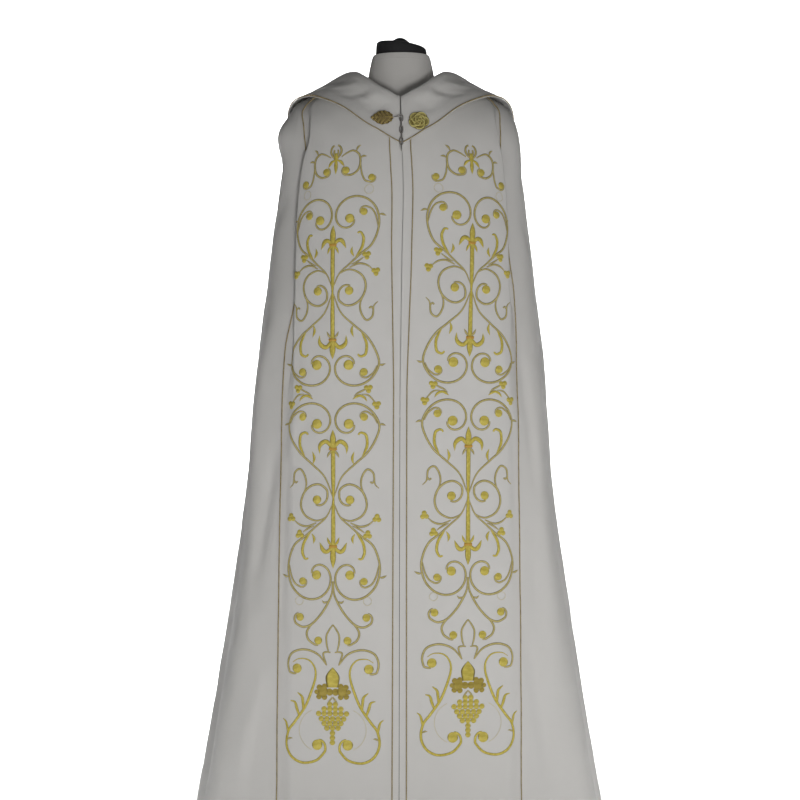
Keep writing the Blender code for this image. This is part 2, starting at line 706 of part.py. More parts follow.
def add_clasp():
    leaf = hood_spot("left", LEAF["x"], LEAF["z"])
    add_plate("clasp_leaf", leaf_outline(), leaf)
    rose = hood_spot("right", ROSE["x"], ROSE["z"])
    add_plate("clasp_rose", rose_outline(), rose)

    # The eye is a wire that leaves the leaf's side, stands out and bends into a long loop.
    hang = Matrix.Rotation(-CHAIN_SLOPE, 4, "X") @ Matrix.Rotation(math.pi / 2, 4, "X")
    hang.translation = leaf @ Vector((0, 0, CHAIN_STANDOFF))
    eye_x = CHAIN_X - leaf.translation.x
    radius = (EYE_WIDTH - LINK_WIRE) / 2
    start = LEAF["length"] / 2 + EYE_GAP
    top = EYE_TOP * radius
    bottom = top - (EYE_LENGTH - LINK_WIRE - 2 * radius)
    path = [(start, 0.0, -EYE_STEP), (start + EYE_LEAD, 0.0, -EYE_STEP)]
    path.append((eye_x - EYE_BEND * radius, 0.0, 0.0))
    for angle in np.linspace(EYE_START, 0.0, 6):
        path.append((eye_x + radius * math.cos(angle), top + radius * math.sin(angle), 0.0))
    for angle in np.linspace(0.0, -math.pi, 8):
        path.append((eye_x + radius * math.cos(angle), bottom + radius * math.sin(angle), 0.0))
    path.append((eye_x - radius, top - LINK_WIRE * EYE_CLOSE, 0.0))
    eye = add_wire("clasp_eye", path, LINK_WIRE / 2, "steel")
    eye.matrix_world = hang

    # The chain swings on its top link's wire, which lies in the bottom of the eye.
    step = LINK_WIRE + LINK_PLAY
    hanger = bpy.data.objects.new("chain_pivot", None)
    PARTS.objects.link(hanger)
    hanger.matrix_world = hang @ Matrix.Translation((eye_x, bottom - radius + step, 0))
    middle = LINK_LENGTH - LINK_WIRE
    for k in range(LINK_COUNT):
        centre = -middle / 2 - k * (middle - step)
        loop = [(x, y + centre) for x, y in stadium(middle, LINK_WIDTH - LINK_WIRE)]
        edge_on = k % 2 == 0
        points = [(0.0, y, x) if edge_on else (x, y, 0.0) for x, y in loop]
        link = add_wire(f"chain_link_{k + 1}", points, LINK_WIRE / 2, "steel", cyclic=True)
        link.parent = hanger


def add_loft(name, rings, finish):
    """A closed solid through rings of equal count, its ends filled flat."""
    sides = len(rings[0])
    faces = [tuple(reversed(range(sides))), tuple(range((len(rings) - 1) * sides, len(rings) * sides))]
    for level in range(len(rings) - 1):
        for k in range(sides):
            a, b = level * sides + k, level * sides + (k + 1) % sides
            faces.append((a, b, b + sides, a + sides))
    made = add_mesh(name, np.concatenate(rings), faces, finish)
    turn_outwards(made)
    return made


def form_ring(row):
    front_height, side_height, back_height, half_width, front, back = row
    angles = np.linspace(0, 2 * math.pi, FORM_SIDES, endpoint=False)
    folded = np.where(angles <= math.pi, angles, 2 * math.pi - angles)
    x, y = outline(folded, half_width, front, back, FORM_SQUARE, FORM_SQUARE)
    x = np.where(angles <= math.pi, x, -x)
    end = np.where(np.cos(angles) >= 0, front_height, back_height)
    z = side_height + (end - side_height) * np.cos(angles) ** 2
    sway = NECK_SWAY * ease((z - NECK_SWAY_START) / NECK_SWAY_REACH)
    return np.stack([x + sway, y, z], axis=1)


def add_form():
    add_loft("form_torso", [form_ring(row) for row in FORM_ROWS], "form_cover")
    angles = np.linspace(0, 2 * math.pi, CAP_SIDES, endpoint=False)
    rings = []
    for radius, height, fall in CAP_ROWS:
        x, y = radius * np.cos(angles) + NECK_SWAY, radius * np.sin(angles)
        rings.append(np.stack([x, y, NECK_TOP + CAP_GAP + height - fall * x * CAP_TILT], axis=1))
    add_loft("form_cap", rings, "form_cap")


def add_cylinder(name, radius, bottom, top, sides, bevel):
    bpy.ops.mesh.primitive_cylinder_add(
        vertices=sides, radius=radius, depth=top - bottom, location=(0, 0, (top + bottom) / 2)
    )
    made = bpy.context.active_object
    made.name = made.data.name = name
    for old in list(made.users_collection):
        old.objects.unlink(made)
    PARTS.objects.link(made)
    made.data.materials.append(material("stand_paint"))
    if bevel:
        rounding = made.modifiers.new("rounded edge", "BEVEL")
        rounding.width = bevel
        rounding.segments = 2
        rounding.limit_method = "ANGLE"
    made.data.shade_smooth()
    made.data.set_sharp_from_angle(angle=STAND_SHARP)
    return made


def add_stand():
    add_cylinder("stand_base", BASE_RADIUS, 0.0, BASE_THICKNESS, BASE_SIDES, BASE_BEVEL)
    foot, head = BASE_THICKNESS + SEAM_GAP, TORSO_BOTTOM - SEAM_GAP
    add_cylinder("stand_pole", POLE_RADIUS, foot, head, POLE_SIDES, 0.0)


for hand in ("left", "right"):
    add_panel("front_strip_" + hand, hand, strip_columns)
    add_panel("orphrey_" + hand, hand, orphrey_columns)
    add_panel("body_" + hand, hand, body_columns)
    add_piping("piping_inner_" + hand, hand, inner_seam)
    add_piping("piping_outer_" + hand, hand, outer_seam)
    add_hood(hand)
add_clasp()
add_form()
add_stand()
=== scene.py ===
import math

import bpy
import numpy as np
from mathutils import Matrix, Vector


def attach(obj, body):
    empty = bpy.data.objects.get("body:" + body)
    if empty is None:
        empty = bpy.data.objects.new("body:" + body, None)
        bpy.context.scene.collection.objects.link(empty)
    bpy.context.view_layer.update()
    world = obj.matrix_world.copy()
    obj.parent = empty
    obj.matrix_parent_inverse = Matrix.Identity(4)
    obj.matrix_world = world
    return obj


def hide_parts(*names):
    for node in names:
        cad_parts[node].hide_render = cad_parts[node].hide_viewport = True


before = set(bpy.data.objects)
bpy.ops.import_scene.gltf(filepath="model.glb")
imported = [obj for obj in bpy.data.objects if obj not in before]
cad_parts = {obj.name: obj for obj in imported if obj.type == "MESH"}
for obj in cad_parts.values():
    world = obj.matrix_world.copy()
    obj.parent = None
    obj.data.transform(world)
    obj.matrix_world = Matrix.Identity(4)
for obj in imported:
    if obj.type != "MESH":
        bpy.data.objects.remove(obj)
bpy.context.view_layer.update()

# A cope on a limbless dress form. Metres, +Z up, the fronts face -Y.
# "drop" is the height below the neck point, "cloth" the distance in cloth from the opening.
mm = 0.001
signOf = {"left": -1.0, "right": 1.0}


def table(columns, *rows):
    return {name: np.array([row[i] for row in rows]) for i, name in enumerate(columns.split())}


def sidedTables(columns, left, right):
    return {"left": table(columns, *left), "right": table(columns, *right)}


def rowsOf(rows, columns):
    return zip(*(rows[name] for name in columns.split()))


def sided(name, side):
    return name + side.capitalize()


def column(rows, name, at, key="drop"):
    # monotone cubic through the rows, never overshooting
    keys, values = rows[key], rows[name]
    steps = np.diff(keys)
    slopes = np.diff(values) / steps
    tangents = np.zeros(len(values))
    tangents[0], tangents[-1] = slopes[0], slopes[-1]
    for i in range(1, len(values) - 1):
        if slopes[i - 1] * slopes[i] > 0:
            tangents[i] = 2 * slopes[i - 1] * slopes[i] / (slopes[i - 1] + slopes[i])
    at = min(max(at, keys[0]), keys[-1])
    i = min(int(np.searchsorted(keys, at, side="right")) - 1, len(steps) - 1)
    t = (at - keys[i]) / steps[i]
    start = values[i] * (1 + 2 * t) * (1 - t) ** 2 + tangents[i] * steps[i] * t * (1 - t) ** 2
    end = values[i + 1] * t * t * (3 - 2 * t) - tangents[i + 1] * steps[i] * t * t * (1 - t)
    return start + end


def rowAt(rows, at, key="drop"):
    return {name: column(rows, name, at, key) for name in rows if name != key}


def ease(t):
    t = np.clip(t, 0.0, 1.0)
    return t * t * (3 - 2 * t)


def along(points):
    return np.concatenate([[0.0], np.cumsum(np.linalg.norm(np.diff(points, axis=0), axis=1))])


def atLength(points, lengths, wanted):
    return np.stack([np.interp(wanted, lengths, points[:, k]) for k in range(points.shape[1])], axis=1)


def unit(vectors):
    return vectors / np.maximum(np.linalg.norm(vectors, axis=-1, keepdims=True), 1e-12)


def curveThrough(points, perStretch, closed=False):
    # Catmull-Rom: each stretch between two points, in equal shares of it
    if closed:
        ends = np.concatenate([points[-1:], points, points[:2]])
    else:
        ends = np.concatenate([2 * points[:1] - points[1:2], points, 2 * points[-1:] - points[-2:-1]])
    t = np.linspace(0, 1, perStretch, endpoint=False).reshape(-1, *[1] * (points.ndim - 1))
    pieces = []
    for a, b, c, d in zip(ends[:-3], ends[1:-2], ends[2:-1], ends[3:]):
        rough = 2 * b + (c - a) * t + (2 * a - 5 * b + 4 * c - d) * t**2 + (3 * b - a - 3 * c + d) * t**3
        pieces.append(rough / 2)
    return np.concatenate(pieces + [ends[-2:-1]])


def smoothPath(points, step, closed=False):
    # a curve through the points, then even steps along it
    fine = curveThrough(np.array(points, dtype=float), perStretch=24, closed=closed)
    lengths = along(fine)
    count = max(int(round(lengths[-1] / step)), 3)
    return atLength(fine, lengths, np.linspace(0, lengths[-1], count + 1))


def plugIn(tree, socket, value):
    if isinstance(value, bpy.types.NodeSocket):
        tree.links.new(value, socket)
    else:
        socket.default_value = value


def addNode(tree, kind, inputs=None, **settings):
    node = tree.nodes.new(kind)
    for key, value in settings.items():
        setattr(node, key, value)
    for key, value in (inputs or {}).items():
        plugIn(tree, node.inputs[key], value)
    return node


def addFirst(tree, kind, inputs=None, **settings):
    # a node of which only the first output is used
    return addNode(tree, kind, inputs, **settings).outputs[0]


def addMath(tree, operation, first, second=0.0, third=0.0, clamp=False):
    inputs = {0: first, 1: second, 2: third}
    return addFirst(tree, "ShaderNodeMath", inputs, operation=operation, use_clamp=clamp)


def addVector(tree, operation, first, second=None, scale=None):
    inputs = {0: first}
    if second is not None:
        inputs[1] = second
    if scale is not None:
        inputs["Scale"] = scale
    return addFirst(tree, "ShaderNodeVectorMath", inputs, operation=operation)


def addMix(tree, factor, first, second):
    # two colours, each a socket or a plain red, green and blue
    node = addNode(tree, "ShaderNodeMix", data_type="RGBA")
    for index, value in ((0, factor), (6, first), (7, second)):
        plugIn(tree, node.inputs[index], (*value, 1.0) if isinstance(value, tuple) else value)
    return node.outputs[2]


def addNoise(tree, vector, scale, detail=2.0, rough=0.5):
    inputs = {"Vector": vector, "Scale": scale, "Detail": detail, "Roughness": rough}
    return addFirst(tree, "ShaderNodeTexNoise", inputs)


def addParts(tree, vector):
    return addNode(tree, "ShaderNodeSeparateXYZ", {0: vector}).outputs


def newTree(name, kind, inputs, outputs):
    # inputs by name: a material, geometry or vector socket, or a number to start from
    tree = bpy.data.node_groups.new(name, kind)
    sockets = {float: "NodeSocketFloat", int: "NodeSocketInt"}
    for label, value in inputs.items():
        socket = sockets.get(type(value), value)
        made = tree.interface.new_socket(name=label, in_out="INPUT", socket_type=socket)
        if socket != value:
            made.default_value = value
    for label in outputs:
        socket = "NodeSocketGeometry" if kind == "GeometryNodeTree" else "NodeSocketFloat"
        tree.interface.new_socket(name=label, in_out="OUTPUT", socket_type=socket)
    entry = tree.nodes.new("NodeGroupInput")
    leave = tree.nodes.new("NodeGroupOutput")
    return tree, entry.outputs, leave.inputs


def makeWeaveGroup():
    # plain weave: crossing ridges of warp and weft, with slubs and a soft shade between threads
    inputs = {"Vector": "NodeSocketVector", "Threads": 1400.0, "Slub": 0.35}
    tree, entry, leave = newTree("weave", "ShaderNodeTree", inputs, ("Height", "Shade", "Drift"))
    parts = addParts(tree, addVector(tree, "SCALE", entry["Vector"], scale=entry["Threads"]))
    warp = addMath(tree, "SINE", addMath(tree, "MULTIPLY", parts["X"], math.pi))
    weft = addMath(tree, "SINE", addMath(tree, "MULTIPLY", parts["Y"], math.pi))
    crossing = addMath(tree, "MULTIPLY", warp, weft)
    ridge = addMath(tree, "ADD", addMath(tree, "ABSOLUTE", warp), addMath(tree, "ABSOLUTE", weft))
    stretched = addFirst(tree, "ShaderNodeMapping", {0: entry["Vector"], "Scale": (900.0, 45.0, 1.0)})
    slub = addNoise(tree, stretched, 1.0)
    ridged = addMath(tree, "MULTIPLY", ridge, 0.35)
    body = addMath(tree, "ADD", ridged, addMath(tree, "MULTIPLY", crossing, 0.3))
    slubbed = addMath(tree, "MULTIPLY", slub, entry["Slub"])
    tree.links.new(addMath(tree, "ADD", body, slubbed), leave["Height"])
    tree.links.new(addMath(tree, "MULTIPLY_ADD", body, 0.5, 0.4, clamp=True), leave["Shade"])
    broad = addNoise(tree, entry["Vector"], 9.0, 3.0, 0.55)
    drift = addMath(tree, "MULTIPLY_ADD", broad, 0.8, addMath(tree, "MULTIPLY", slub, 0.2))
    tree.links.new(drift, leave["Drift"])
    return tree


def makeThreadGroup():
    # satin stitches lying side by side across a line: x runs across, y along
    inputs = {"Vector": "NodeSocketVector", "Stitches": 2200.0, "Slant": 0.0012}
    outputs = ("Height", "Strand", "Edge", "Drift")
    tree, entry, leave = newTree("thread", "ShaderNodeTree", inputs, outputs)
    parts = addParts(tree, entry["Vector"])
    across = parts["X"]
    leaned = addMath(tree, "MULTIPLY_ADD", across, entry["Slant"], parts["Y"])
    phase = addMath(tree, "MULTIPLY", leaned, entry["Stitches"])
    ridge = addMath(tree, "ABSOLUTE", addMath(tree, "SINE", addMath(tree, "MULTIPLY", phase, math.pi)))
    number = addMath(tree, "FLOOR", phase)
    cell = addFirst(tree, "ShaderNodeCombineXYZ", {0: number, 1: addMath(tree, "MULTIPLY", across, 1.5)})
    centred = addMath(tree, "ABSOLUTE", addMath(tree, "MULTIPLY_ADD", across, 2.0, -1.0))
    tree.links.new(ridge, leave["Height"])
    tree.links.new(addNoise(tree, cell, 3.1, 1.0), leave["Strand"])
    tree.links.new(centred, leave["Edge"])
    # Drift: slow lighter and darker patches along a line, a painted sheen standing in for the metal thread's
    # highlights
    sheen = addFirst(tree, "ShaderNodeMapping", {0: entry["Vector"], "Scale": (1.3, 130.0, 1.0)})
    drift = addMath(tree, "MULTIPLY_ADD", addNoise(tree, sheen, 1.0), 2.6, -0.8, clamp=True)
    tree.links.new(drift, leave["Drift"])
    return tree


def makePatinaGroup():
    # grime in broad patches and fine rubbing marks on hard parts
    inputs = {"Vector": "NodeSocketVector", "Patch": 60.0, "Fine": 900.0}
    tree, entry, leave = newTree("patina", "ShaderNodeTree", inputs, ("Grime", "Rubbing"))
    grime = addNoise(tree, entry["Vector"], entry["Patch"], 4.0, 0.6)
    tree.links.new(addMath(tree, "SMOOTH_MIN", grime, 0.72, 0.2), leave["Grime"])
    tree.links.new(addNoise(tree, entry["Vector"], entry["Fine"], 3.0, 0.6), leave["Rubbing"])
    return tree


weaveGroup = makeWeaveGroup()
threadGroup = makeThreadGroup()
patinaGroup = makePatinaGroup()


def newMaterial(name, roughness, metallic=0.0, **sockets):
    material = bpy.data.materials.new(name)
    material.use_nodes = True
    shader = material.node_tree.nodes["Principled BSDF"]
    shader.inputs["Roughness"].default_value = roughness
    shader.inputs["Metallic"].default_value = metallic
    for label, value in sockets.items():
        shader.inputs[label.replace("_", " ")].default_value = value
    return material, material.node_tree, shader


def placeGroup(tree, group, **values):
    return addNode(tree, "ShaderNodeGroup", values, node_tree=group).outputs


def setBump(tree, shader, height, strength, distance):
    bump = addFirst(tree, "ShaderNodeBump", {"Height": height, "Strength": strength, "Distance": distance})
    tree.links.new(bump, shader.inputs["Normal"])


clothFinish = {
    "light": (0.712, 0.704, 0.684),
    "deep": (0.645, 0.638, 0.622),
    "roughness": 0.72,
    "threads": 1500.0,  # a metre
    "slub": 0.6,
    "relief": 0.00012,
}
jerseyFinish = {
    "light": (0.68, 0.67, 0.65),
    "deep": (0.56, 0.545, 0.52),
    "roughness": 0.85,
    "threads": 1100.0,
    "slub": 0.2,
    "relief": 0.00015,
}


def makeWoven(name, finish, **sockets):
    material, tree, shader = newMaterial(name, finish["roughness"], **sockets)
    uv = addFirst(tree, "ShaderNodeUVMap", uv_map="cut")
    weave = placeGroup(tree, weaveGroup, Vector=uv, Threads=finish["threads"], Slub=finish["slub"])
    return material, tree, shader, weave


def makeCloth():
    finish = clothFinish
    material, tree, shader, weave = makeWoven(
        "ivory_cloth", finish, Sheen_Weight=0.0, Specular_IOR_Level=0.15
    )
    drift = addMath(tree, "MULTIPLY", weave["Drift"], 0.65)
    shade = addMath(tree, "MULTIPLY_ADD", weave["Shade"], 0.35, drift)
    tree.links.new(addMix(tree, shade, finish["deep"], finish["light"]), shader.inputs["Base Color"])
    tree.links.new(addMath(tree, "MULTIPLY_ADD", weave["Drift"], 0.12, 0.64), shader.inputs["Roughness"])
    setBump(tree, shader, weave["Height"], 0.7, finish["relief"])
    return material


def makeJersey():
    finish = jerseyFinish
    material, tree, shader, weave = makeWoven("form_jersey", finish, Sheen_Weight=0.25, Sheen_Roughness=0.5)
    shade = addMix(tree, weave["Shade"], finish["deep"], finish["light"])
    tree.links.new(shade, shader.inputs["Base Color"])
    setBump(tree, shader, weave["Height"], 0.8, finish["relief"])
    return material


# name, bright and pale strands, shaded edge, where that edge starts (1 is the rim), stitches a metre
threads = {
    "embroidery": (
        "gold_embroidery", (0.50, 0.385, 0.035), (0.92, 0.80, 0.17), (0.22, 0.155, 0.030), 0.68, 1900.0
    ),
    "lineThread": (
        "gold_outline_thread", (0.46, 0.37, 0.12), (0.80, 0.71, 0.30), (0.18, 0.130, 0.050), 0.30, 1900.0
    ),
    "warmThread": (
        "orange_gold_thread", (0.62, 0.33, 0.035), (0.70, 0.44, 0.08), (0.26, 0.14, 0.03), 0.6, 1900.0
    ),
    "darkThread": (
        "dark_gold_thread", (0.34, 0.25, 0.025), (0.60, 0.47, 0.085), (0.15, 0.10, 0.02), 0.7, 1900.0
    ),
    "piping": ("gold_piping", (0.40, 0.315, 0.160), (0.54, 0.445, 0.25), (0.22, 0.165, 0.09), 0.60, 2600.0),
    "paleThread": ("pale_thread", (0.66, 0.62, 0.48), (0.72, 0.69, 0.58), (0.55, 0.50, 0.36), 0.6, 1500.0),
    "topstitch": ("form_topstitch", (0.50, 0.47, 0.46), (0.60, 0.57, 0.55), (0.3, 0.27, 0.27), 0.6, 2600.0),
}
threadFinish = {"roughness": 0.42, "metallic": 0.25, "relief": 0.00016}


def makeThread(name, bright, pale, edge, edgeStart, stitches):
    roughness = threadFinish["roughness"]
    material, tree, shader = newMaterial(
        name, roughness, threadFinish["metallic"], Sheen_Weight=0.12, Specular_IOR_Level=0.6
    )
    uv = addFirst(tree, "ShaderNodeUVMap", uv_map="stitch")
    thread = placeGroup(tree, threadGroup, Vector=uv, Stitches=stitches)
    strand = addMath(tree, "MULTIPLY", thread["Strand"], 0.35)
    # bright to pale by each strand's own tone and by the painted sheen that drifts along the line
    lit = addMix(tree, addMath(tree, "MULTIPLY_ADD", thread["Drift"], 0.65, strand), bright, pale)
    # darker towards the edges of a line, partly an olive outline thread and partly painted shade of the
    # raised round thread; painted shade also darkens the grooves between stitches
    reach = {"Value": thread["Edge"], "From Min": edgeStart, "From Max": 0.98}
    grooveShade = addMath(tree, "MULTIPLY_ADD", thread["Height"], -0.35, 0.35, clamp=True)
    dark = addMath(tree, "MAXIMUM", addFirst(tree, "ShaderNodeMapRange", reach), grooveShade)
    tree.links.new(addMix(tree, dark, lit, edge), shader.inputs["Base Color"])
    rough = addMath(tree, "MULTIPLY_ADD", thread["Strand"], 0.25, roughness - 0.1)
    tree.links.new(rough, shader.inputs["Roughness"])
    setBump(tree, shader, thread["Height"], 0.8, threadFinish["relief"])
    return material


def addPatina(tree, shader, roughness, bump=0.00005, **sizes):
    # uneven gloss and a fine relief; puts out where the grime lies
    place = addNode(tree, "ShaderNodeTexCoord").outputs["Object"]
    patina = placeGroup(tree, patinaGroup, Vector=place, **sizes)
    rough = addMath(tree, "MULTIPLY_ADD", patina["Rubbing"], 0.25, roughness - 0.12, clamp=True)
    tree.links.new(rough, shader.inputs["Roughness"])
    setBump(tree, shader, patina["Rubbing"], 0.6, bump)
    return patina["Grime"]


def makePlain(name, base, other, roughness, fine, metallic=0.0, bump=0.00005):
    # paint, steel and felt: two tones by patina
    material, tree, shader = newMaterial(name, roughness, metallic)
    grime = addPatina(tree, shader, roughness, bump, Fine=fine)
    tree.links.new(addMix(tree, grime, base, other), shader.inputs["Base Color"])
    return material


def makeCast(name, bright, dark, roughness):
    # cast and gilded: painted shade darkens the hollows, and the high places are bright where hands rub them
    material, tree, shader = newMaterial(name, roughness, 0.45)
    grime = addPatina(tree, shader, roughness, Patch=180.0, Fine=2500.0)
    hollowShadeAndWear = addNode(tree, "ShaderNodeAttribute", attribute_name="hollowShadeAndWear").outputs["Fac"]
    tone = addMath(tree, "MULTIPLY_ADD", grime, -0.5, addMath(tree, "ADD", hollowShadeAndWear, 0.22), clamp=True)
    tree.links.new(addMix(tree, tone, dark, bright), shader.inputs["Base Color"])
    return material


finishes = {
    "cloth": makeCloth(),
    **{label: makeThread(*look) for label, look in threads.items()},
    "gold": makeCast("gilt_metal", (0.86, 0.78, 0.30), (0.24, 0.19, 0.05), 0.46),
    "oldGold": makeCast("dull_gilt_metal", (0.50, 0.39, 0.14), (0.105, 0.074, 0.026), 0.50),
    "steel": makePlain("chain_steel", (0.44, 0.42, 0.40), (0.22, 0.20, 0.19), 0.30, 1800.0, 0.9),
    "jersey": makeJersey(),
    "felt": makePlain("black_felt", (0.010, 0.010, 0.012), (0.022, 0.022, 0.024), 0.8, 1600.0, bump=0.0002),
    "paint": makePlain("stand_paint", (0.045, 0.045, 0.05), (0.075, 0.073, 0.075), 0.42, 1400.0),
}
print("materials ready")


view = {"distance": 4.2, "height": 0.885, "lens": 92.3, "sensor": 36.0}
stageSizes = {"width": 14.0, "front": -6.0, "back": 8.5, "bend": 1.6, "height": 7.0}
stageFinish = {"tone": 0.90, "roughness": 0.9, "bendSteps": 13}
sky = {"colour": (1.0, 0.99, 0.98, 1.0), "strength": 0.10}
white = (1.0, 1.0, 1.0)
# place, the point it is aimed at, size, power, colour and spread in degrees
lamps = {
    "key": ((0.38, -2.75, 0.52), (0.0, 0.0, 0.70), (0.6, 0.6), 31.5, (1.0, 0.99, 0.975), 180.0),
    "backdrop_wash_left": ((-3.4, 4.4, 3.6), (-0.6, 8.5, 1.0), (1.6, 1.0), 210.0, white, 100.0),
    "backdrop_wash_right": ((3.4, 4.4, 3.6), (0.6, 8.5, 1.0), (1.6, 1.0), 210.0, white, 100.0),
    "floor_wash": ((0.0, 5.2, 4.2), (0.0, 3.4, 0.0), (2.6, 1.0), 90.0, white, 100.0),
    "near_floor_wash": ((0.0, 2.6, 3.4), (0.0, 1.9, 0.0), (2.4, 0.8), 95.0, white, 80.0),
}


def addObject(name, data):
    made = bpy.data.objects.new(name, data)
    bpy.context.scene.collection.objects.link(made)
    return made


def makeCamera():
    data = bpy.data.cameras.new("camera")
    data.lens = view["lens"]
    data.sensor_width = view["sensor"]
    camera = addObject("camera", data)
    camera.location = (0.0, -view["distance"], view["height"])
    camera.rotation_euler = (math.pi / 2, 0.0, 0.0)
    bpy.context.scene.camera = camera


def makeStage():
    # a pale floor that bends up into a backdrop
    back, bend, half = stageSizes["back"], stageSizes["bend"], stageSizes["width"] / 2
    turn = np.linspace(0, math.pi / 2, stageFinish["bendSteps"])
    profile = [(stageSizes["front"], 0.0)]
    profile += [(back - bend + bend * math.sin(a), bend * (1 - math.cos(a))) for a in turn]
    profile.append((back, stageSizes["height"]))
    points = [(x, y, z) for y, z in profile for x in (-half, half)]
    faces = [(2 * i, 2 * i + 1, 2 * i + 3, 2 * i + 2) for i in range(len(profile) - 1)]
    mesh = bpy.data.meshes.new("floor")
    mesh.from_pydata(points, [], faces)
    mesh.shade_smooth()
    material, _, shader = newMaterial("pale_floor", stageFinish["roughness"])
    shader.inputs["Base Color"].default_value = (*[stageFinish["tone"]] * 3, 1.0)
    mesh.materials.append(material)
    addObject("floor", mesh)


def makeLight():
    world = bpy.data.worlds.new("studio")
    world.use_nodes = True
    background = world.node_tree.nodes["Background"]
    background.inputs[0].default_value = sky["colour"]
    background.inputs[1].default_value = sky["strength"]
    bpy.context.scene.world = world
    for name, (place, aim, size, power, colour, spread) in lamps.items():
        data = bpy.data.lights.new(name, "AREA")
        data.shape = "RECTANGLE"
        data.size, data.size_y = size
        data.energy = power
        data.color = colour
        data.spread = math.radians(spread)
        light = addObject(name, data)
        light.location = place
        light.visible_camera = False
        light.rotation_euler = (Vector(aim) - Vector(place)).to_track_quat("-Z", "Y").to_euler()
    bpy.context.scene.view_settings.view_transform = "Standard"


makeCamera()
makeStage()
makeLight()
print("camera, stage and light ready")


neckHeight = 1.478
seamGap = 0.3 * mm
openingGap = 1.0 * mm

shape = table(
    "drop sideRise backRise halfWidth front back frontSquare backSquare",
    (0.000, 0.054, 0.070, 0.082, 0.110, 0.074, 2.0, 2.0),
    (0.023, 0.070, 0.070, 0.126, 0.122, 0.100, 2.1, 2.1),
    (0.058, 0.088, 0.072, 0.178, 0.134, 0.122, 2.2, 2.1),
    (0.098, 0.099, 0.068, 0.220, 0.144, 0.137, 2.3, 2.2),
    (0.143, 0.090, 0.058, 0.2395, 0.151, 0.146, 2.4, 2.2),
    (0.208, 0.054, 0.042, 0.2485, 0.158, 0.154, 2.5, 2.3),
    (0.298, 0.020, 0.020, 0.262, 0.164, 0.164, 2.6, 2.3),
    (0.378, 0.000, 0.000, 0.272, 0.168, 0.172, 2.7, 2.3),
    (0.578, 0.000, 0.000, 0.296, 0.175, 0.188, 2.7, 2.3),
    (0.778, 0.000, 0.000, 0.309, 0.182, 0.202, 2.7, 2.3),
    (0.978, 0.000, 0.000, 0.333, 0.189, 0.216, 2.7, 2.3),
    (1.178, 0.000, 0.000, 0.362, 0.196, 0.230, 2.7, 2.3),
    (1.428, 0.000, 0.000, 0.400, 0.205, 0.248, 2.7, 2.3),
)
fronts = table(
    "drop lean sway stripLeft stripRight orphreyEdge",
    (0.000, 0.0005, 0.0000, 0.0240, 0.0180, 0.1640),
    (0.050, 0.0020, 0.0002, 0.0240, 0.0178, 0.2190),
    (0.090, 0.0030, 0.0005, 0.0240, 0.0175, 0.2480),
    (0.120, 0.0030, 0.0020, 0.0240, 0.0180, 0.2540),
    (0.180, 0.0030, 0.0035, 0.0225, 0.0190, 0.2555),
    (0.300, 0.0010, 0.0030, 0.0205, 0.0190, 0.2535),
    (0.430, 0.0005, 0.0015, 0.0165, 0.0165, 0.2460),
    (0.590, 0.0000, 0.0000, 0.0125, 0.0135, 0.2435),
    (1.428, -0.0010, -0.0010, 0.0138, 0.0144, 0.2435),
)
puff = {"side": "left", "place": 0.485, "reach": 0.075, "drop": 0.146, "fall": 0.042, "height": 0.013}
shoulderFold = table(
    "drop edgeLeft swingLeft edgeRight swingRight recess",
    (0.040, 0.150, 0.0000, 0.155, 0.0000, 0.000),
    (0.085, 0.186, 0.0030, 0.192, 0.0030, 0.006),
    (0.115, 0.186, 0.0100, 0.194, 0.0090, 0.011),
    (0.168, 0.202, 0.0140, 0.204, 0.0120, 0.014),
    (0.225, 0.2105, 0.0140, 0.211, 0.0115, 0.014),
    (0.300, 0.2130, 0.0140, 0.216, 0.0100, 0.014),
    (0.365, 0.2140, 0.0130, 0.220, 0.0060, 0.012),
    (0.430, 0.2155, 0.0090, 0.225, 0.0020, 0.010),
    (0.500, 0.2170, 0.0045, 0.225, 0.0000, 0.008),
    (0.640, 0.220, 0.0000, 0.225, 0.0000, 0.005),
    (0.900, 0.222, 0.0000, 0.225, 0.0000, 0.003),
    (1.428, 0.225, 0.0000, 0.225, 0.0000, 0.006),
)
# the shoulder fold: how long the cloth turns, how it closes again, and where its two edges bend
foldSizes = {
    "span": 0.030,
    "ease": 0.080,
    "lead": 0.6,
    "full": 0.0048,
    "bends": (0.18, 0.58),
    "bendReach": 0.24,
}
fluteColumns = "place reach height start"
flutes = sidedTables(
    fluteColumns,
    left=(
        (0.375, 0.085, 0.014, 0.30),
        (0.470, 0.060, -0.010, 0.35),
        (0.545, 0.065, 0.026, 0.20),
        (0.635, 0.055, -0.030, 0.25),
        (0.715, 0.060, 0.028, 0.35),
        (0.795, 0.050, -0.034, 0.22),
        (0.880, 0.060, 0.030, 0.30),
        (0.950, 0.048, -0.022, 0.40),
    ),
    right=(
        (0.385, 0.080, 0.016, 0.34),
        (0.465, 0.050, -0.014, 0.28),
        (0.535, 0.055, 0.021, 0.16),
        (0.620, 0.060, -0.034, 0.24),
        (0.705, 0.055, 0.026, 0.40),
        (0.785, 0.055, -0.026, 0.30),
        (0.870, 0.055, 0.034, 0.20),
        (0.951, 0.049, -0.026, 0.32),
    ),
)
fluteGrowth = 1.25
fullDrop = shape["drop"][-1]
ringAngles = np.linspace(0.0, math.pi, 721)
dropStep = 0.004
walkCount = 2401


def basePoints(drop, angles):
    # the cope's level line on the +x side, before folds and flutes
    row = rowAt(shape, drop)
    ahead = np.cos(angles) >= 0
    power = np.where(ahead, 2 / row["frontSquare"], 2 / row["backSquare"])
    x = row["halfWidth"] * np.abs(np.sin(angles)) ** power
    y = np.where(ahead, -row["front"], row["back"]) * np.abs(np.cos(angles)) ** power
    endRise = np.where(ahead, 0.0, row["backRise"])
    rise = row["sideRise"] + (endRise - row["sideRise"]) * np.cos(angles) ** 2
    return np.stack([x, y, neckHeight - drop + rise], axis=1)


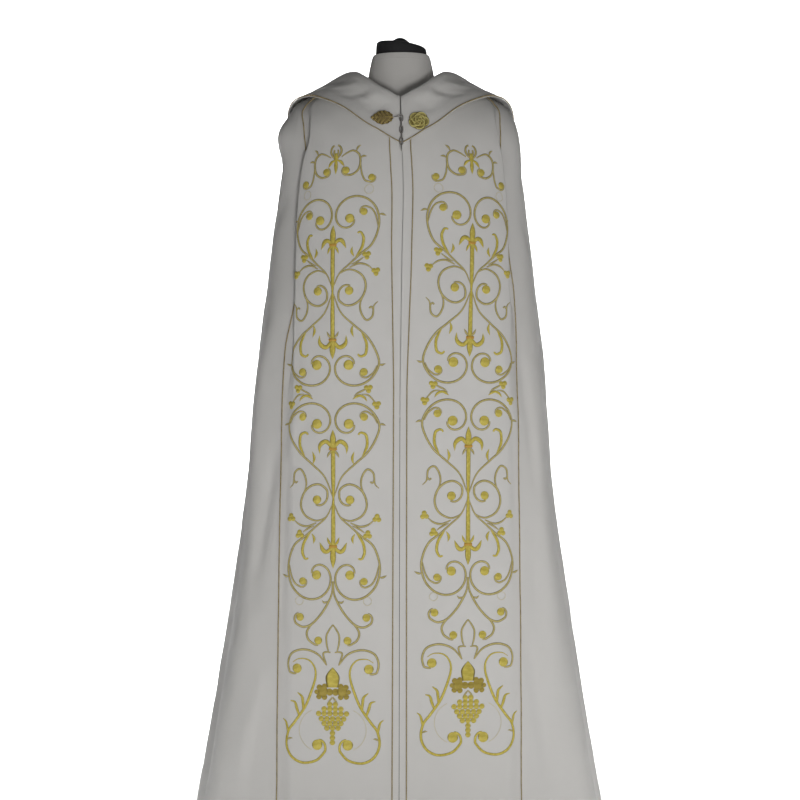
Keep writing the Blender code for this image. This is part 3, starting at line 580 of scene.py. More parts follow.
def baseLine(drop):
    points = basePoints(drop, ringAngles)
    below = basePoints(min(drop + dropStep, fullDrop), ringAngles)
    above = basePoints(max(drop - dropStep, 0.0), ringAngles)
    normals = unit(np.cross(np.gradient(points, axis=0), above - below))
    return points, normals, along(points)


baseLines = {}


def baseLineAt(drop):
    # each level is worked out once
    key = round(drop, 5)
    if key not in baseLines:
        baseLines[key] = baseLine(drop)
    return baseLines[key]


def fluteHeight(side, share, drop):
    height = np.zeros_like(share)
    for place, reach, crest, start in rowsOf(flutes[side], fluteColumns):
        grown = max(drop - start, 0.0) / (fullDrop - start)
        lobe = np.cos(np.clip((share - place) / reach, -1, 1) * math.pi / 2) ** 2
        height += crest * grown**fluteGrowth * lobe
    if side == puff["side"]:
        across = np.clip((share - puff["place"]) / puff["reach"], -1, 1)
        down = min(abs(drop - puff["drop"]) / puff["fall"], 1.0)
        height += puff["height"] * np.cos(across * math.pi / 2) ** 2 * math.cos(down * math.pi / 2) ** 2
    return height


def sidewaysShift(drop, y):
    # the level's sway, and at the front the lean of the opening
    ahead = np.clip(-y / column(shape, "front", drop), 0.0, 1.0)
    return column(fronts, "sway", drop) + column(fronts, "lean", drop) * ahead**2


def foldFall(turn, share):
    # the recess under the shoulder fold: one slope, or a bend at each edge of the swing
    bends = [ease((turn - start) / foldSizes["bendReach"]) / 2 for start in foldSizes["bends"]]
    return (1 - share) * ease(turn) + share * (bends[0] + bends[1])


def clothLine(side, drop):
    # points of the cope's face at a level, from the opening to the centre back
    points, normals, lengths = baseLine(drop)
    whole = lengths[-1]
    swing = column(shoulderFold, sided("swing", side), drop)
    recess = column(shoulderFold, "recess", drop)
    frontHalf = ringAngles <= math.pi / 2
    edgeX = column(shoulderFold, sided("edge", side), drop)
    edge = np.interp(edgeX, points[frontHalf, 0], lengths[frontHalf])
    start = edge - foldSizes["span"] / 2 - foldSizes["lead"] * swing
    doubled = min(swing / foldSizes["full"], 1.0)
    walk = np.linspace(0.0, whole, walkCount)
    turn = np.clip((walk - start) / foldSizes["span"], 0.0, 1.0)
    place = walk + swing * np.sin(2 * math.pi * turn)
    closing = ease((walk - start - foldSizes["span"]) / foldSizes["ease"])
    lift = fluteHeight(side, place / whole, drop) - recess * foldFall(turn, doubled) * (1 - closing)
    face = atLength(points, lengths, place) + atLength(normals, lengths, place) * lift[:, None]
    face[:, 0] *= signOf[side]
    face[:, 0] += sidewaysShift(drop, face[:, 1])
    return face, along(face)


# Creases: from one end to the other (cloth and drop in metres), half width, and
# height of the ridge (a trough's is negative).
creaseColumns = "cloth drop clothEnd dropEnd width height"
creases = sidedTables(
    creaseColumns,
    left=(
        (0.045, 0.330, 0.110, 0.420, 0.016, -0.0012),
        (0.060, 0.620, 0.190, 0.700, 0.022, 0.0014),
        (0.150, 0.980, 0.232, 1.020, 0.014, -0.0012),
        (0.030, 1.060, 0.140, 1.130, 0.024, 0.0012),
        (0.185, 0.520, 0.238, 0.780, 0.012, 0.0020),
        (0.228, 0.560, 0.236, 1.180, 0.008, -0.0012),
        (0.262, 0.640, 0.300, 1.050, 0.016, -0.0055),
        (0.300, 0.360, 0.322, 0.960, 0.024, 0.0060),
        (0.345, 0.520, 0.372, 1.240, 0.022, -0.0060),
        (0.275, 1.080, 0.330, 1.400, 0.020, 0.0050),
        (0.390, 0.200, 0.420, 0.560, 0.020, 0.0040),
        (0.330, 0.150, 0.395, 0.235, 0.013, -0.0035),
        (0.300, 0.210, 0.400, 0.330, 0.014, -0.0030),
        (0.420, 0.700, 0.455, 1.300, 0.026, 0.0050),
        (0.520, 0.180, 0.560, 0.420, 0.020, -0.0035),
        (0.600, 0.300, 0.640, 0.760, 0.018, -0.0030),
        (0.700, 0.520, 0.780, 0.900, 0.024, 0.0035),
        (0.660, 0.980, 0.720, 1.320, 0.022, -0.0030),
        (0.880, 0.760, 0.960, 1.240, 0.026, 0.0035),
    ),
    right=(
        (0.050, 0.300, 0.120, 0.380, 0.015, -0.0011),
        (0.075, 0.760, 0.200, 0.820, 0.022, 0.0013),
        (0.135, 0.955, 0.236, 1.000, 0.014, -0.0013),
        (0.040, 1.150, 0.160, 1.200, 0.022, 0.0011),
        (0.200, 0.430, 0.240, 0.700, 0.012, 0.0018),
        (0.229, 0.480, 0.236, 1.080, 0.008, -0.0010),
        (0.258, 0.440, 0.285, 0.860, 0.014, -0.0045),
        (0.292, 0.560, 0.318, 1.300, 0.024, 0.0060),
        (0.338, 0.420, 0.362, 1.080, 0.020, -0.0050),
        (0.262, 1.020, 0.300, 1.400, 0.016, -0.0045),
        (0.380, 0.260, 0.410, 0.640, 0.020, 0.0040),
        (0.320, 0.160, 0.385, 0.250, 0.014, -0.0035),
        (0.300, 0.240, 0.385, 0.390, 0.013, -0.0028),
        (0.430, 0.780, 0.470, 1.380, 0.028, 0.0045),
        (0.500, 0.150, 0.545, 0.380, 0.020, -0.0035),
        (0.610, 0.340, 0.650, 0.700, 0.018, -0.0028),
        (0.720, 0.600, 0.800, 1.000, 0.024, 0.0035),
        (0.640, 1.040, 0.700, 1.360, 0.020, -0.0030),
        (0.900, 0.700, 0.980, 1.180, 0.026, 0.0032),
    ),
)
creaseShape = {"bow": 0.35, "bowTurns": 1.7, "fadeIn": 0.3, "fadeOut": 0.42}
# soft unevenness of hanging cloth: height, then the turns along the cloth, down the drop and
# by the side's phase, for each of two crossing waves
unevenness = (
    (0.0006, (41, 9, 1), (-7, 23, 2)),
    (0.00035, (97, -31, 1), (13, 67, 0)),
)
sidePhase = {"left": 0.0, "right": 1.9}
hemTurn = {"height": 0.078, "step": 0.0009, "soft": 0.010, "wave": 0.0016, "waves": 34}
backSeamReach = 0.03
pucker = {"reach": 0.009, "height": 0.00035, "length": 0.017, "wander": (1.3, 29), "swell": (0.6, 0.4, 17)}


def creaseHeight(side, cloth, drop, total):
    # cloth and drop as grids of the same shape
    height = np.zeros_like(cloth)
    phase = sidePhase[side]
    for x0, y0, x1, y1, width, crest in rowsOf(creases[side], creaseColumns):
        way = np.array([x1 - x0, y1 - y0])
        length = np.hypot(*way)
        way = way / length
        t = ((cloth - x0) * way[0] + (drop - y0) * way[1]) / length
        bowTurn = math.pi * np.clip(t, 0, 1) * creaseShape["bowTurns"] + 3 * x0
        bow = creaseShape["bow"] * width * np.sin(bowTurn)
        apart = (cloth - x0) * way[1] - (drop - y0) * way[0] + bow
        ends = ease(t / creaseShape["fadeIn"]) * ease((1 - t) / creaseShape["fadeOut"])
        height += crest * np.exp(-((apart / width) ** 2)) * ends
    for crest, *waves in unevenness:
        first, second = (np.sin(cloth * a + drop * b + phase * c) for a, b, c in waves)
        height += crest * first * second
    # hem turned up inside: the doubled cloth stands out a little
    above = fullDrop - drop
    line = hemTurn["height"] + hemTurn["wave"] * np.sin(cloth * hemTurn["waves"] + phase)
    height += hemTurn["step"] * ease((line - above) / hemTurn["soft"])
    # every displacement dies out at the centre back seam
    return height * ease((total - cloth) / backSeamReach)


def seamPucker(cloth, drop, seams, phase):
    height = np.zeros_like(cloth)
    wander, wanderRate = pucker["wander"]
    least, swell, swellRate = pucker["swell"]
    for k, seam in enumerate(seams):
        near = np.exp(-(((cloth - seam) / pucker["reach"]) ** 2))
        turns = 2 * math.pi * drop / pucker["length"]
        wave = np.sin(turns + wander * np.sin(drop * wanderRate + k) + phase)
        height += pucker["height"] * near * (wave * (least + swell * np.sin(drop * swellRate + k)))
    return height


# the face's levels, closer at the shoulders
levelSizes = {"upperStep": 0.0065, "lowerStep": 0.0095, "upperEnd": 0.46}
shoulderEnd = levelSizes["upperEnd"]
upperCount = int(round(shoulderEnd / levelSizes["upperStep"]))
lowerCount = int(round((fullDrop - shoulderEnd) / levelSizes["lowerStep"]))
upperDrops = np.linspace(0.0, shoulderEnd, upperCount + 1)
levelDrops = np.concatenate([upperDrops, np.linspace(shoulderEnd, fullDrop, lowerCount + 1)[1:]])
lines = {side: [clothLine(side, drop) for drop in levelDrops] for side in signOf}
innerSeam = {
    side: np.array([column(fronts, sided("strip", side), drop) for drop in levelDrops]) for side in signOf
}
outerSeam = np.array([column(fronts, "orphreyEdge", drop) for drop in levelDrops])
faceStep = 0.0009  # of cloth, to feel which way the face runs


def faceGrid(side, clothRows):
    # points and outward normals at each level's distances in cloth
    cloth = np.array(clothRows)
    base, ahead, behind = (
        np.array([atLength(*line, row + step) for line, row in zip(lines[side], cloth)])
        for step in (0.0, faceStep, -faceStep)
    )
    # how the surface falls at one distance in cloth: from the levels above and below
    upwards = np.zeros_like(base)
    for i in range(len(base)):
        low, high = min(i + 1, len(base) - 1), max(i - 1, 0)
        upwards[i] = atLength(*lines[side][high], cloth[i]) - atLength(*lines[side][low], cloth[i])
    normals = unit(np.cross(ahead - behind, upwards)) * signOf[side]
    drop = np.repeat(levelDrops[:, None], cloth.shape[1], axis=1)
    total = np.array([line[1][-1] for line in lines[side]])[:, None]
    seams = (innerSeam[side][:, None], outerSeam[:, None])
    height = creaseHeight(side, cloth, drop, total) + seamPucker(cloth, drop, seams, signOf[side])
    return base + normals * height[:, :, None], normals, cloth


def finishObject(name, mesh, finish, slot, body="garment"):
    mesh.materials.clear()
    mesh.materials.append(finishes[finish])
    piece = addObject(name, mesh)
    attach(piece, body)
    return piece


def addMesh(name, points, facesOut, sharp):
    mesh = bpy.data.meshes.new(name)
    mesh.from_pydata(points.tolist(), [], facesOut)
    mesh.shade_smooth()
    mesh.set_sharp_from_angle(angle=math.radians(sharp))
    return mesh


def wallMesh(name, side, outer, normals, wall, uv):
    # a closed wall from the outer grid inwards, levels by columns
    inner = outer - normals * wall
    levels, columns = outer.shape[:2]
    count = levels * columns
    grid = np.arange(count).reshape(levels, columns)
    top, bottom, first, last = grid[0], grid[-1], grid[:, 0], grid[:, -1]
    corners = (
        (grid[1:, :-1], grid[1:, 1:], grid[:-1, 1:], grid[:-1, :-1]),
        (top[:-1], top[1:], top[1:] + count, top[:-1] + count),
        (bottom[:-1] + count, bottom[1:] + count, bottom[1:], bottom[:-1]),
        (first[1:] + count, first[1:], first[:-1], first[:-1] + count),
        (last[1:], last[1:] + count, last[:-1] + count, last[:-1]),
    )
    face, *edges = [np.stack(four, axis=-1).reshape(-1, 4) for four in corners]
    quads = np.concatenate([face, face[:, ::-1] + count, *edges])
    if side == "left":
        quads = quads[:, ::-1]
    points = np.concatenate([outer.reshape(-1, 3), inner.reshape(-1, 3)])
    mesh = addMesh(name, points, quads.tolist(), sharp=60)
    loops = np.zeros(len(mesh.loops), dtype=np.int32)
    mesh.loops.foreach_get("vertex_index", loops)
    flatUv = np.concatenate([uv.reshape(-1, 2), uv.reshape(-1, 2)])
    layer = mesh.uv_layers.new(name="cut")
    layer.data.foreach_set("uv", flatUv[loops].astype(np.float32).ravel())
    return mesh


panelCut = {"wall": 1.3 * mm, "stripColumns": 6}
# two zones of columns: how many in each, and where the first ends, as a share and a step more
orphreyCut = {"first": 26, "second": 58, "share": 0.62, "more": 0.0}
bodyCut = {"first": 31, "second": 104, "share": 0.07, "more": 0.02}


def twoZones(start, end, cut):
    first = np.linspace(0, 1, cut["first"], endpoint=False)
    second = np.linspace(0, 1, cut["second"])
    middle = start + (end - start) * cut["share"] + cut["more"]
    return np.concatenate([start + (middle - start) * first, middle + (end - middle) * second])


def stripRows(side):
    share = np.linspace(0, 1, panelCut["stripColumns"])
    return [openingGap / 2 + share * (seam - seamGap / 2 - openingGap / 2) for seam in innerSeam[side]]


def orphreyRows(side):
    # even columns on the flat, close ones through the shoulder fold, to the outer seam
    seams = zip(innerSeam[side], outerSeam)
    return [twoZones(inner + seamGap / 2, outer - seamGap / 2, orphreyCut) for inner, outer in seams]


def bodyRows(side):
    # close columns behind the outer seam, where the shoulder fold's cloth comes out again
    ends = [lengths[-1] for _, lengths in lines[side]]
    return [twoZones(outer + seamGap / 2, end - seamGap / 2, bodyCut) for outer, end in zip(outerSeam, ends)]


def addCloth(name, side, outer, normals, wall, uv):
    mesh = wallMesh("cloth_" + name, side, outer, normals, wall, uv)
    piece = finishObject("cloth_" + name, mesh, "cloth", "ivory_cloth")
    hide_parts(name)
    return piece


# what each panel was cut to: width, length and area, flat
flatCut = {
    "front_strip_left": ((0.024, 1.442), 0.0220),
    "front_strip_right": ((0.018, 1.442), 0.0213),
    "orphrey_left": ((0.233, 1.579), 0.337),
    "orphrey_right": ((0.237, 1.579), 0.339),
    "body_left": ((0.950, 1.580), 0.920),
    "body_right": ((0.950, 1.580), 0.910),
    "hood_left": ((0.470, 0.805), 0.119),
    "hood_right": ((0.470, 0.805), 0.119),
}
for side in signOf:
    for kind, cutRows in (("front_strip_", stripRows), ("orphrey_", orphreyRows), ("body_", bodyRows)):
        outer, normals, cloth = faceGrid(side, cutRows(side))
        uv = np.stack([cloth, -np.repeat(levelDrops[:, None], cloth.shape[1], axis=1)], axis=-1)
        addCloth(kind + side, side, outer, normals, panelCut["wall"], uv)
print("panels ready")


hoodRows = table(
    "turn edge crest roll",
    (0.00, 0.088, 0.012, 0.002),
    (0.10, 0.063, 0.022, 0.008),
    (0.25, 0.050, 0.024, 0.018),
    (0.40, 0.062, 0.020, 0.022),
    (0.50, 0.088, 0.016, 0.022),
    (0.60, 0.128, 0.014, 0.020),
    (0.75, 0.230, 0.014, 0.018),
    (0.90, 0.325, 0.014, 0.018),
    (1.00, 0.350, 0.014, 0.018),
)
# the cloth's way from the neck, up and over, down to the hood's edge
hoodRun = table(
    "along rise outward roll",
    (0.00, 0.22, -0.0020, 0.0),
    (0.00, 0.75, -0.0010, 0.0),
    (0.00, 1.00, 0.0050, 0.0),
    (0.07, 0.70, 0.0075, 0.3),
    (0.14, 0.40, 0.0080, 0.5),
    (0.22, 0.10, 0.0080, 0.5),
    (0.32, 0.00, 0.0080, 0.3),
    (0.44, 0.00, 0.0084, 0.1),
    (0.58, 0.00, 0.0086, 0.0),
    (0.72, 0.00, 0.0086, 0.0),
    (0.86, 0.00, 0.0084, 0.0),
    (1.00, 0.00, 0.0080, 0.0),
)
hoodCut = {"start": 0.0035, "end": 0.9990, "columns": 110, "perStep": 6, "wall": 1.4 * mm, "uvRow": 30}
# creases of the hood: turn and run share (0 neck, 1 edge) at both ends, width in turn, height
hoodCreaseColumns = "turn run turnEnd runEnd width height"
hoodCreases = table(
    hoodCreaseColumns,
    (0.06, 0.34, 0.15, 0.80, 0.030, -0.0016),
    (0.13, 0.30, 0.24, 0.72, 0.034, 0.0020),
    (0.20, 0.36, 0.33, 0.86, 0.030, -0.0022),
    (0.30, 0.40, 0.42, 0.78, 0.034, 0.0022),
    (0.42, 0.42, 0.50, 0.90, 0.030, -0.0022),
    (0.56, 0.40, 0.60, 0.86, 0.030, 0.0024),
    (0.66, 0.44, 0.70, 0.92, 0.026, -0.0024),
    (0.78, 0.36, 0.79, 0.88, 0.026, 0.0026),
    (0.88, 0.40, 0.87, 0.94, 0.024, -0.0022),
)


hoodCreaseShape = {"lag": {"left": 0.0, "right": 0.018}, "waver": 0.006, "turns": (5, 9), "fade": 0.35}


def hoodPoint(side, turn, run):
    row = rowAt(hoodRows, turn, "turn")
    drop = run["along"] * row["edge"]
    points, normals, lengths = baseLineAt(drop)
    at = np.array([turn * lengths[-1]])
    point = atLength(points, lengths, at)[0]
    normal = unit(atLength(normals, lengths, at))[0]
    flat = np.array([normal[0], normal[1], 0.0])
    outward = flat / np.linalg.norm(flat) if run["along"] == 0 else normal
    point = point + outward * (run["outward"] + row["roll"] * run["roll"])
    point[2] += row["crest"] * run["rise"]
    point[0] = signOf[side] * point[0] + float(sidewaysShift(drop, point[1]))
    return point


def hoodGrid(side, turns, perStep=1):
    # rows of the run by columns of the turn, smooth between the run's own steps
    steps = [{name: hoodRun[name][i] for name in hoodRun} for i in range(len(hoodRun["along"]))]
    coarse = np.array([[hoodPoint(side, turn, run) for turn in turns] for run in steps])
    fine = curveThrough(coarse, perStep)
    sideways = np.gradient(fine, axis=1)
    upwards = -np.gradient(fine, axis=0)
    return fine, unit(np.cross(sideways, upwards) * signOf[side])


def hoodHeight(side, turn, run):
    height = np.zeros_like(turn)
    lag = hoodCreaseShape["lag"][side]
    waver, (down, across) = hoodCreaseShape["waver"], hoodCreaseShape["turns"]
    fade = hoodCreaseShape["fade"]
    for x0, y0, x1, y1, width, crest in rowsOf(hoodCreases, hoodCreaseColumns):
        t = (run - y0) / (y1 - y0)
        middle = x0 + lag + (x1 - x0) * np.clip(t, 0, 1) + waver * np.sin(down * t + across * x0)
        ends = ease(t / fade) * ease((1 - t) / fade)
        height += crest * np.exp(-(((turn - middle) / width) ** 2)) * ends
    return height


hoodFace = {}
for side in signOf:
    turns = np.linspace(hoodCut["start"], hoodCut["end"], hoodCut["columns"])
    outer, normals = hoodGrid(side, turns, hoodCut["perStep"])
    run = np.linspace(0, 1, len(outer))
    turnGrid, runGrid = np.meshgrid(turns, run)
    outer = outer + normals * hoodHeight(side, turnGrid, runGrid)[:, :, None]
    lengthAcross = along(outer[hoodCut["uvRow"]])
    lengthDown = np.array([along(outer[:, k]) for k in range(outer.shape[1])]).T
    uv = np.stack([np.repeat(lengthAcross[None, :], len(outer), axis=0), -lengthDown], axis=-1)
    addCloth("hood_" + side, side, outer, normals, hoodCut["wall"], uv)
    hoodFace[side] = (outer, normals)
print("hood ready")


placingGrid = {"start": 0.0006, "end": 0.27, "columns": 300}


class Face:
    # a dense patch of a side's face, for putting a point at a cloth distance and a height
    def __init__(self, side):
        self.cloth = np.linspace(placingGrid["start"], placingGrid["end"], placingGrid["columns"])
        self.points, self.normals, _ = faceGrid(side, [self.cloth] * len(levelDrops))

    def place(self, cloth, height):
        at = np.interp(cloth, self.cloth, np.arange(len(self.cloth)))
        left = np.minimum(at.astype(int), len(self.cloth) - 2)
        share = at - left
        points = np.zeros((len(cloth), 3))
        normals = np.zeros((len(cloth), 3))
        for i, (k, f, z) in enumerate(zip(left, share, height)):
            linePoints = self.points[:, k] * (1 - f) + self.points[:, k + 1] * f
            lineNormals = self.normals[:, k] * (1 - f) + self.normals[:, k + 1] * f
            level = np.interp(-z, -linePoints[:, 2], np.arange(len(linePoints)))
            low = min(int(level), len(linePoints) - 2)
            t = level - low
            points[i] = linePoints[low] * (1 - t) + linePoints[low + 1] * t
            normals[i] = lineNormals[low] * (1 - t) + lineNormals[low + 1] * t
        return points, unit(normals)


faces = {side: Face(side) for side in signOf}


def lineMesh(name, strokes, dots=()):
    # strokes: points, normals, half widths and crowns; dots are single points
    points, edges, normals, widths, crowns, isDot = [], [], [], [], [], []
    for stroke in strokes:
        first, count = len(points), len(stroke["points"])
        points.extend(stroke["points"].tolist())
        normals.extend(stroke["normals"].tolist())
        widths.extend(np.broadcast_to(stroke["widths"], count).tolist())
        crowns.extend(np.broadcast_to(stroke["crowns"], count).tolist())
        isDot.extend([0.0] * count)
        edges.extend((first + i, first + i + 1) for i in range(count - 1))
        if stroke.get("closed"):
            edges.append((first + count - 1, first))
    for dot in dots:
        points.append(tuple(dot["point"]))
        normals.append(tuple(dot["normal"]))
        widths.append(dot["radius"])
        crowns.append(dot["crown"])
        isDot.append(1.0)
    mesh = bpy.data.meshes.new(name)
    mesh.from_pydata(points, edges, [])
    ways = mesh.attributes.new("faceNormal", "FLOAT_VECTOR", "POINT")
    ways.data.foreach_set("vector", np.array(normals).ravel())
    for label, values in (("halfWidth", widths), ("crown", crowns), ("isDot", isDot)):
        mesh.attributes.new(label, "FLOAT", "POINT").data.foreach_set("value", np.array(values))
    return mesh


def named(tree, label, kind="FLOAT"):
    return addFirst(tree, "GeometryNodeInputNamedAttribute", {"Name": label}, data_type=kind)


def storeUv(tree, geometry, across, lengthways):
    pair = addFirst(tree, "ShaderNodeCombineXYZ", {0: across, 1: lengthways})
    inputs = {"Geometry": geometry, "Name": "stitch", "Value": pair}
    kind = "GeometryNodeStoreNamedAttribute"
    return addFirst(tree, kind, inputs, data_type="FLOAT2", domain="CORNER")


def capture(tree, geometry, **values):
    # keep point values of a geometry; each is its kind and its socket
    node = addNode(tree, "GeometryNodeCaptureAttribute", {"Geometry": geometry}, domain="POINT")
    for label, (kind, _) in values.items():
        node.capture_items.new(kind, label)
    for index, (_, socket) in enumerate(values.values()):
        tree.links.new(socket, node.inputs[1 + index])
    return node.outputs[0], [node.outputs[1 + index] for index in range(len(values))]


def growTree(name, inputs):
    inputs = {"Geometry": "NodeSocketGeometry", **inputs, "Thread": "NodeSocketMaterial"}
    return newTree(name, "GeometryNodeTree", inputs, ("Geometry",))


def addRing(tree, sides, radius):
    return addFirst(tree, "GeometryNodeCurvePrimitiveCircle", {"Resolution": sides, "Radius": radius})


def addBalls(tree, points, normal, scale, segments, rings, radius, tangent=None):
    # a small ball on each point, and the place on its own ball of each of its points
    inputs = {"Segments": segments, "Rings": rings, "Radius": radius}
    ball = addFirst(tree, "GeometryNodeMeshUVSphere", inputs)
    place = addFirst(tree, "GeometryNodeInputPosition")
    ball, (spot,) = capture(tree, ball, spot=("VECTOR", place))
    turned = addFirst(tree, "FunctionNodeAlignRotationToVector", {"Vector": normal}, axis="Z")
    if tangent is not None:
        inputs = {"Rotation": turned, "Vector": tangent}
        turned = addFirst(tree, "FunctionNodeAlignRotationToVector", inputs, axis="X", pivot_axis="Z")
    scale = addFirst(tree, "ShaderNodeCombineXYZ", dict(enumerate(scale)))
    inputs = {"Points": points, "Instance": ball, "Rotation": turned, "Scale": scale}
    return addFirst(tree, "GeometryNodeInstanceOnPoints", inputs), addParts(tree, spot)


def closeTree(tree, entry, leave, *geometries):
    joined = addNode(tree, "GeometryNodeJoinGeometry")
    for geometry in geometries:
        tree.links.new(geometry, joined.inputs[0])
    real = addFirst(tree, "GeometryNodeRealizeInstances", {0: joined.outputs[0]})
    done = addFirst(tree, "GeometryNodeSetMaterial", {"Geometry": real, "Material": entry["Thread"]})
    tree.links.new(done, leave["Geometry"])
    return tree


# how much of the thread's pattern, in metres, runs over a ball
stitchReach = {"dome": 0.009, "dash": 0.0012}


def makeSatinTree():
    # raised satin lines along the edges and domes on the dots
    tree, entry, leave = growTree("satin stitch", {"Sides": 9, "Underlay": 0.25})
    isDot = addMath(tree, "GREATER_THAN", named(tree, "isDot"), 0.5)
    inputs = {0: entry["Geometry"], 1: isDot}
    parted = addNode(tree, "GeometryNodeSeparateGeometry", inputs, domain="POINT")
    curve = addFirst(tree, "GeometryNodeMeshToCurve", {0: parted.outputs[1]})
    normal = named(tree, "faceNormal", "FLOAT_VECTOR")
    curve = addFirst(tree, "GeometryNodeSetCurveNormal", {"Curve": curve, "Normal": normal}, mode="FREE")
    spline = addNode(tree, "GeometryNodeSplineParameter")
    curve, (length,) = capture(tree, curve, length=("FLOAT", spline.outputs["Length"]))
    # half-round profile: x stands off the cloth, y runs across
    ring = addRing(tree, entry["Sides"], 1.0)
    parts = addParts(tree, addFirst(tree, "GeometryNodeInputPosition"))
    low = addMath(tree, "MULTIPLY", entry["Underlay"], -1.0)
    raised = addMath(tree, "MAXIMUM", parts["X"], low)
    shaped = addFirst(tree, "ShaderNodeCombineXYZ", {0: raised, 1: parts["Y"]})
    ring = addFirst(tree, "GeometryNodeSetPosition", {"Geometry": ring, "Position": shaped})
    ring, (rise, across) = capture(tree, ring, rise=("FLOAT", raised), across=("FLOAT", parts["Y"]))
    size, crown = named(tree, "halfWidth"), named(tree, "crown")
    inputs = {"Curve": curve, "Profile Curve": ring, "Scale": size, "Fill Caps": True}
    body = addFirst(tree, "GeometryNodeCurveToMesh", inputs)
    lift = addMath(tree, "MULTIPLY", addMath(tree, "SUBTRACT", crown, size), rise)
    offset = addVector(tree, "SCALE", normal, scale=lift)
    body = addFirst(tree, "GeometryNodeSetPosition", {"Geometry": body, "Offset": offset})
    body = storeUv(tree, body, addMath(tree, "MULTIPLY_ADD", across, 0.5, 0.5), length)
    scale = (size, size, crown)
    domes, spot = addBalls(tree, parted.outputs[0], normal, scale, segments=14, rings=8, radius=1.0)
    across = addMath(tree, "MULTIPLY_ADD", spot["X"], 0.5, 0.5)
    lengthways = addMath(tree, "MULTIPLY", spot["Y"], stitchReach["dome"])
    domes = storeUv(tree, domes, across, lengthways)
    return closeTree(tree, entry, leave, domes, body)


def makeCordTree():
    # strands twisted round a path
    inputs = {"Strands": 2, "Strand Radius": 0.0008, "Pitch": 0.006, "Step": 0.001, "Sides": 6}
    tree, entry, leave = growTree("twisted cord", inputs)
    normal = named(tree, "faceNormal", "FLOAT_VECTOR")
    curve = addFirst(tree, "GeometryNodeMeshToCurve", {0: entry["Geometry"]})
    inputs = {"Curve": curve, "Length": entry["Step"]}
    curve = addFirst(tree, "GeometryNodeResampleCurve", inputs, mode="LENGTH")
    inputs = {"Geometry": curve, "Amount": entry["Strands"]}
    copies = addNode(tree, "GeometryNodeDuplicateElements", inputs, domain="SPLINE")
    spline = addNode(tree, "GeometryNodeSplineParameter")
    share = addMath(tree, "DIVIDE", copies.outputs[1], entry["Strands"])
    turns = addMath(tree, "ADD", addMath(tree, "DIVIDE", spline.outputs["Length"], entry["Pitch"]), share)
    angle = addMath(tree, "MULTIPLY", turns, 2 * math.pi)
    tangent = addFirst(tree, "GeometryNodeInputTangent")
    side = addVector(tree, "NORMALIZE", addVector(tree, "CROSS_PRODUCT", tangent, normal))
    out = addVector(tree, "SCALE", normal, scale=addMath(tree, "SINE", angle))
    off = addVector(tree, "SCALE", side, scale=addMath(tree, "COSINE", angle))
    swirl = addVector(tree, "SCALE", addVector(tree, "ADD", out, off), scale=entry["Strand Radius"])
    curve, (length,) = capture(tree, copies.outputs[0], length=("FLOAT", spline.outputs["Length"]))
    curve = addFirst(tree, "GeometryNodeSetPosition", {"Geometry": curve, "Offset": swirl})
    ring = addRing(tree, entry["Sides"], entry["Strand Radius"])
    around = addNode(tree, "GeometryNodeSplineParameter").outputs["Factor"]
    ring, (factor,) = capture(tree, ring, factor=("FLOAT", around))
    inputs = {"Curve": curve, "Profile Curve": ring, "Fill Caps": True}
    body = storeUv(tree, addFirst(tree, "GeometryNodeCurveToMesh", inputs), factor, length)
    return closeTree(tree, entry, leave, body)


def makeDashTree():
    # a running row of topstitches along a path
    inputs = {"Pitch": 0.0032, "Length": 0.0024, "Thickness": 0.0007}
    tree, entry, leave = growTree("topstitch", inputs)
    curve = addFirst(tree, "GeometryNodeMeshToCurve", {0: entry["Geometry"]})
    inputs = {"Curve": curve, "Length": entry["Pitch"]}
    curve = addFirst(tree, "GeometryNodeResampleCurve", inputs, mode="LENGTH")
    normal = named(tree, "faceNormal", "FLOAT_VECTOR")
    tangent = addFirst(tree, "GeometryNodeInputTangent")
    scale = (entry["Length"], entry["Thickness"], entry["Thickness"])
    dashes, spot = addBalls(tree, curve, normal, scale, segments=8, rings=5, radius=0.5, tangent=tangent)
    across = addMath(tree, "ADD", spot["Y"], 0.5)
    lengthways = addMath(tree, "MULTIPLY", spot["X"], stitchReach["dash"])
    return closeTree(tree, entry, leave, storeUv(tree, dashes, across, lengthways))


def growNodes(name, source, tree, values, finish, slot, body="garment"):
    # run a Geometry Nodes tree over the source mesh and keep the plain mesh
    holder = addObject(name + "_source", source)
    modifier = holder.modifiers.new("grow", "NODES")
    modifier.node_group = tree
    settings = dict(values, Thread=finishes[finish])
    for item in tree.interface.items_tree:
        if item.item_type == "SOCKET" and item.in_out == "INPUT" and item.name in settings:
            modifier[item.identifier] = settings[item.name]
    graph = bpy.context.evaluated_depsgraph_get()
    mesh = bpy.data.meshes.new_from_object(holder.evaluated_get(graph))
    mesh.name = name
    bpy.data.objects.remove(holder)
    for label in ("faceNormal", "halfWidth", "crown", "isDot"):
        if label in mesh.attributes:
            mesh.attributes.remove(mesh.attributes[label])
    mesh.shade_smooth()
    return finishObject(name, mesh, finish, slot, body)


satinTree = makeSatinTree()
cordTree = makeCordTree()
dashTree = makeDashTree()
print("node trees ready")


cordSizes = {"Strands": 2, "Strand Radius": 0.75 * mm, "Pitch": 4.6 * mm, "Step": 0.95 * mm, "Sides": 6}
cordPlace = {"lift": 1.2 * mm, "hoodIn": 1.6 * mm, "hoodOut": 0.4 * mm}


def addPath(name, points, normals, tree, values, finish, slot):
    # a path whose own width the tree sets
    source = lineMesh(name, [{"points": points, "normals": normals, "widths": 1.0, "crowns": 1.0}])
    return growNodes(name, source, tree, values, finish, slot)


def addPiping(label, points, normals):
    lifted = points + normals * cordPlace["lift"]
    piece = addPath("cord_" + label, lifted, normals, cordTree, cordSizes, "piping", "gold_piping")
    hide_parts("piping_" + label)
    return piece


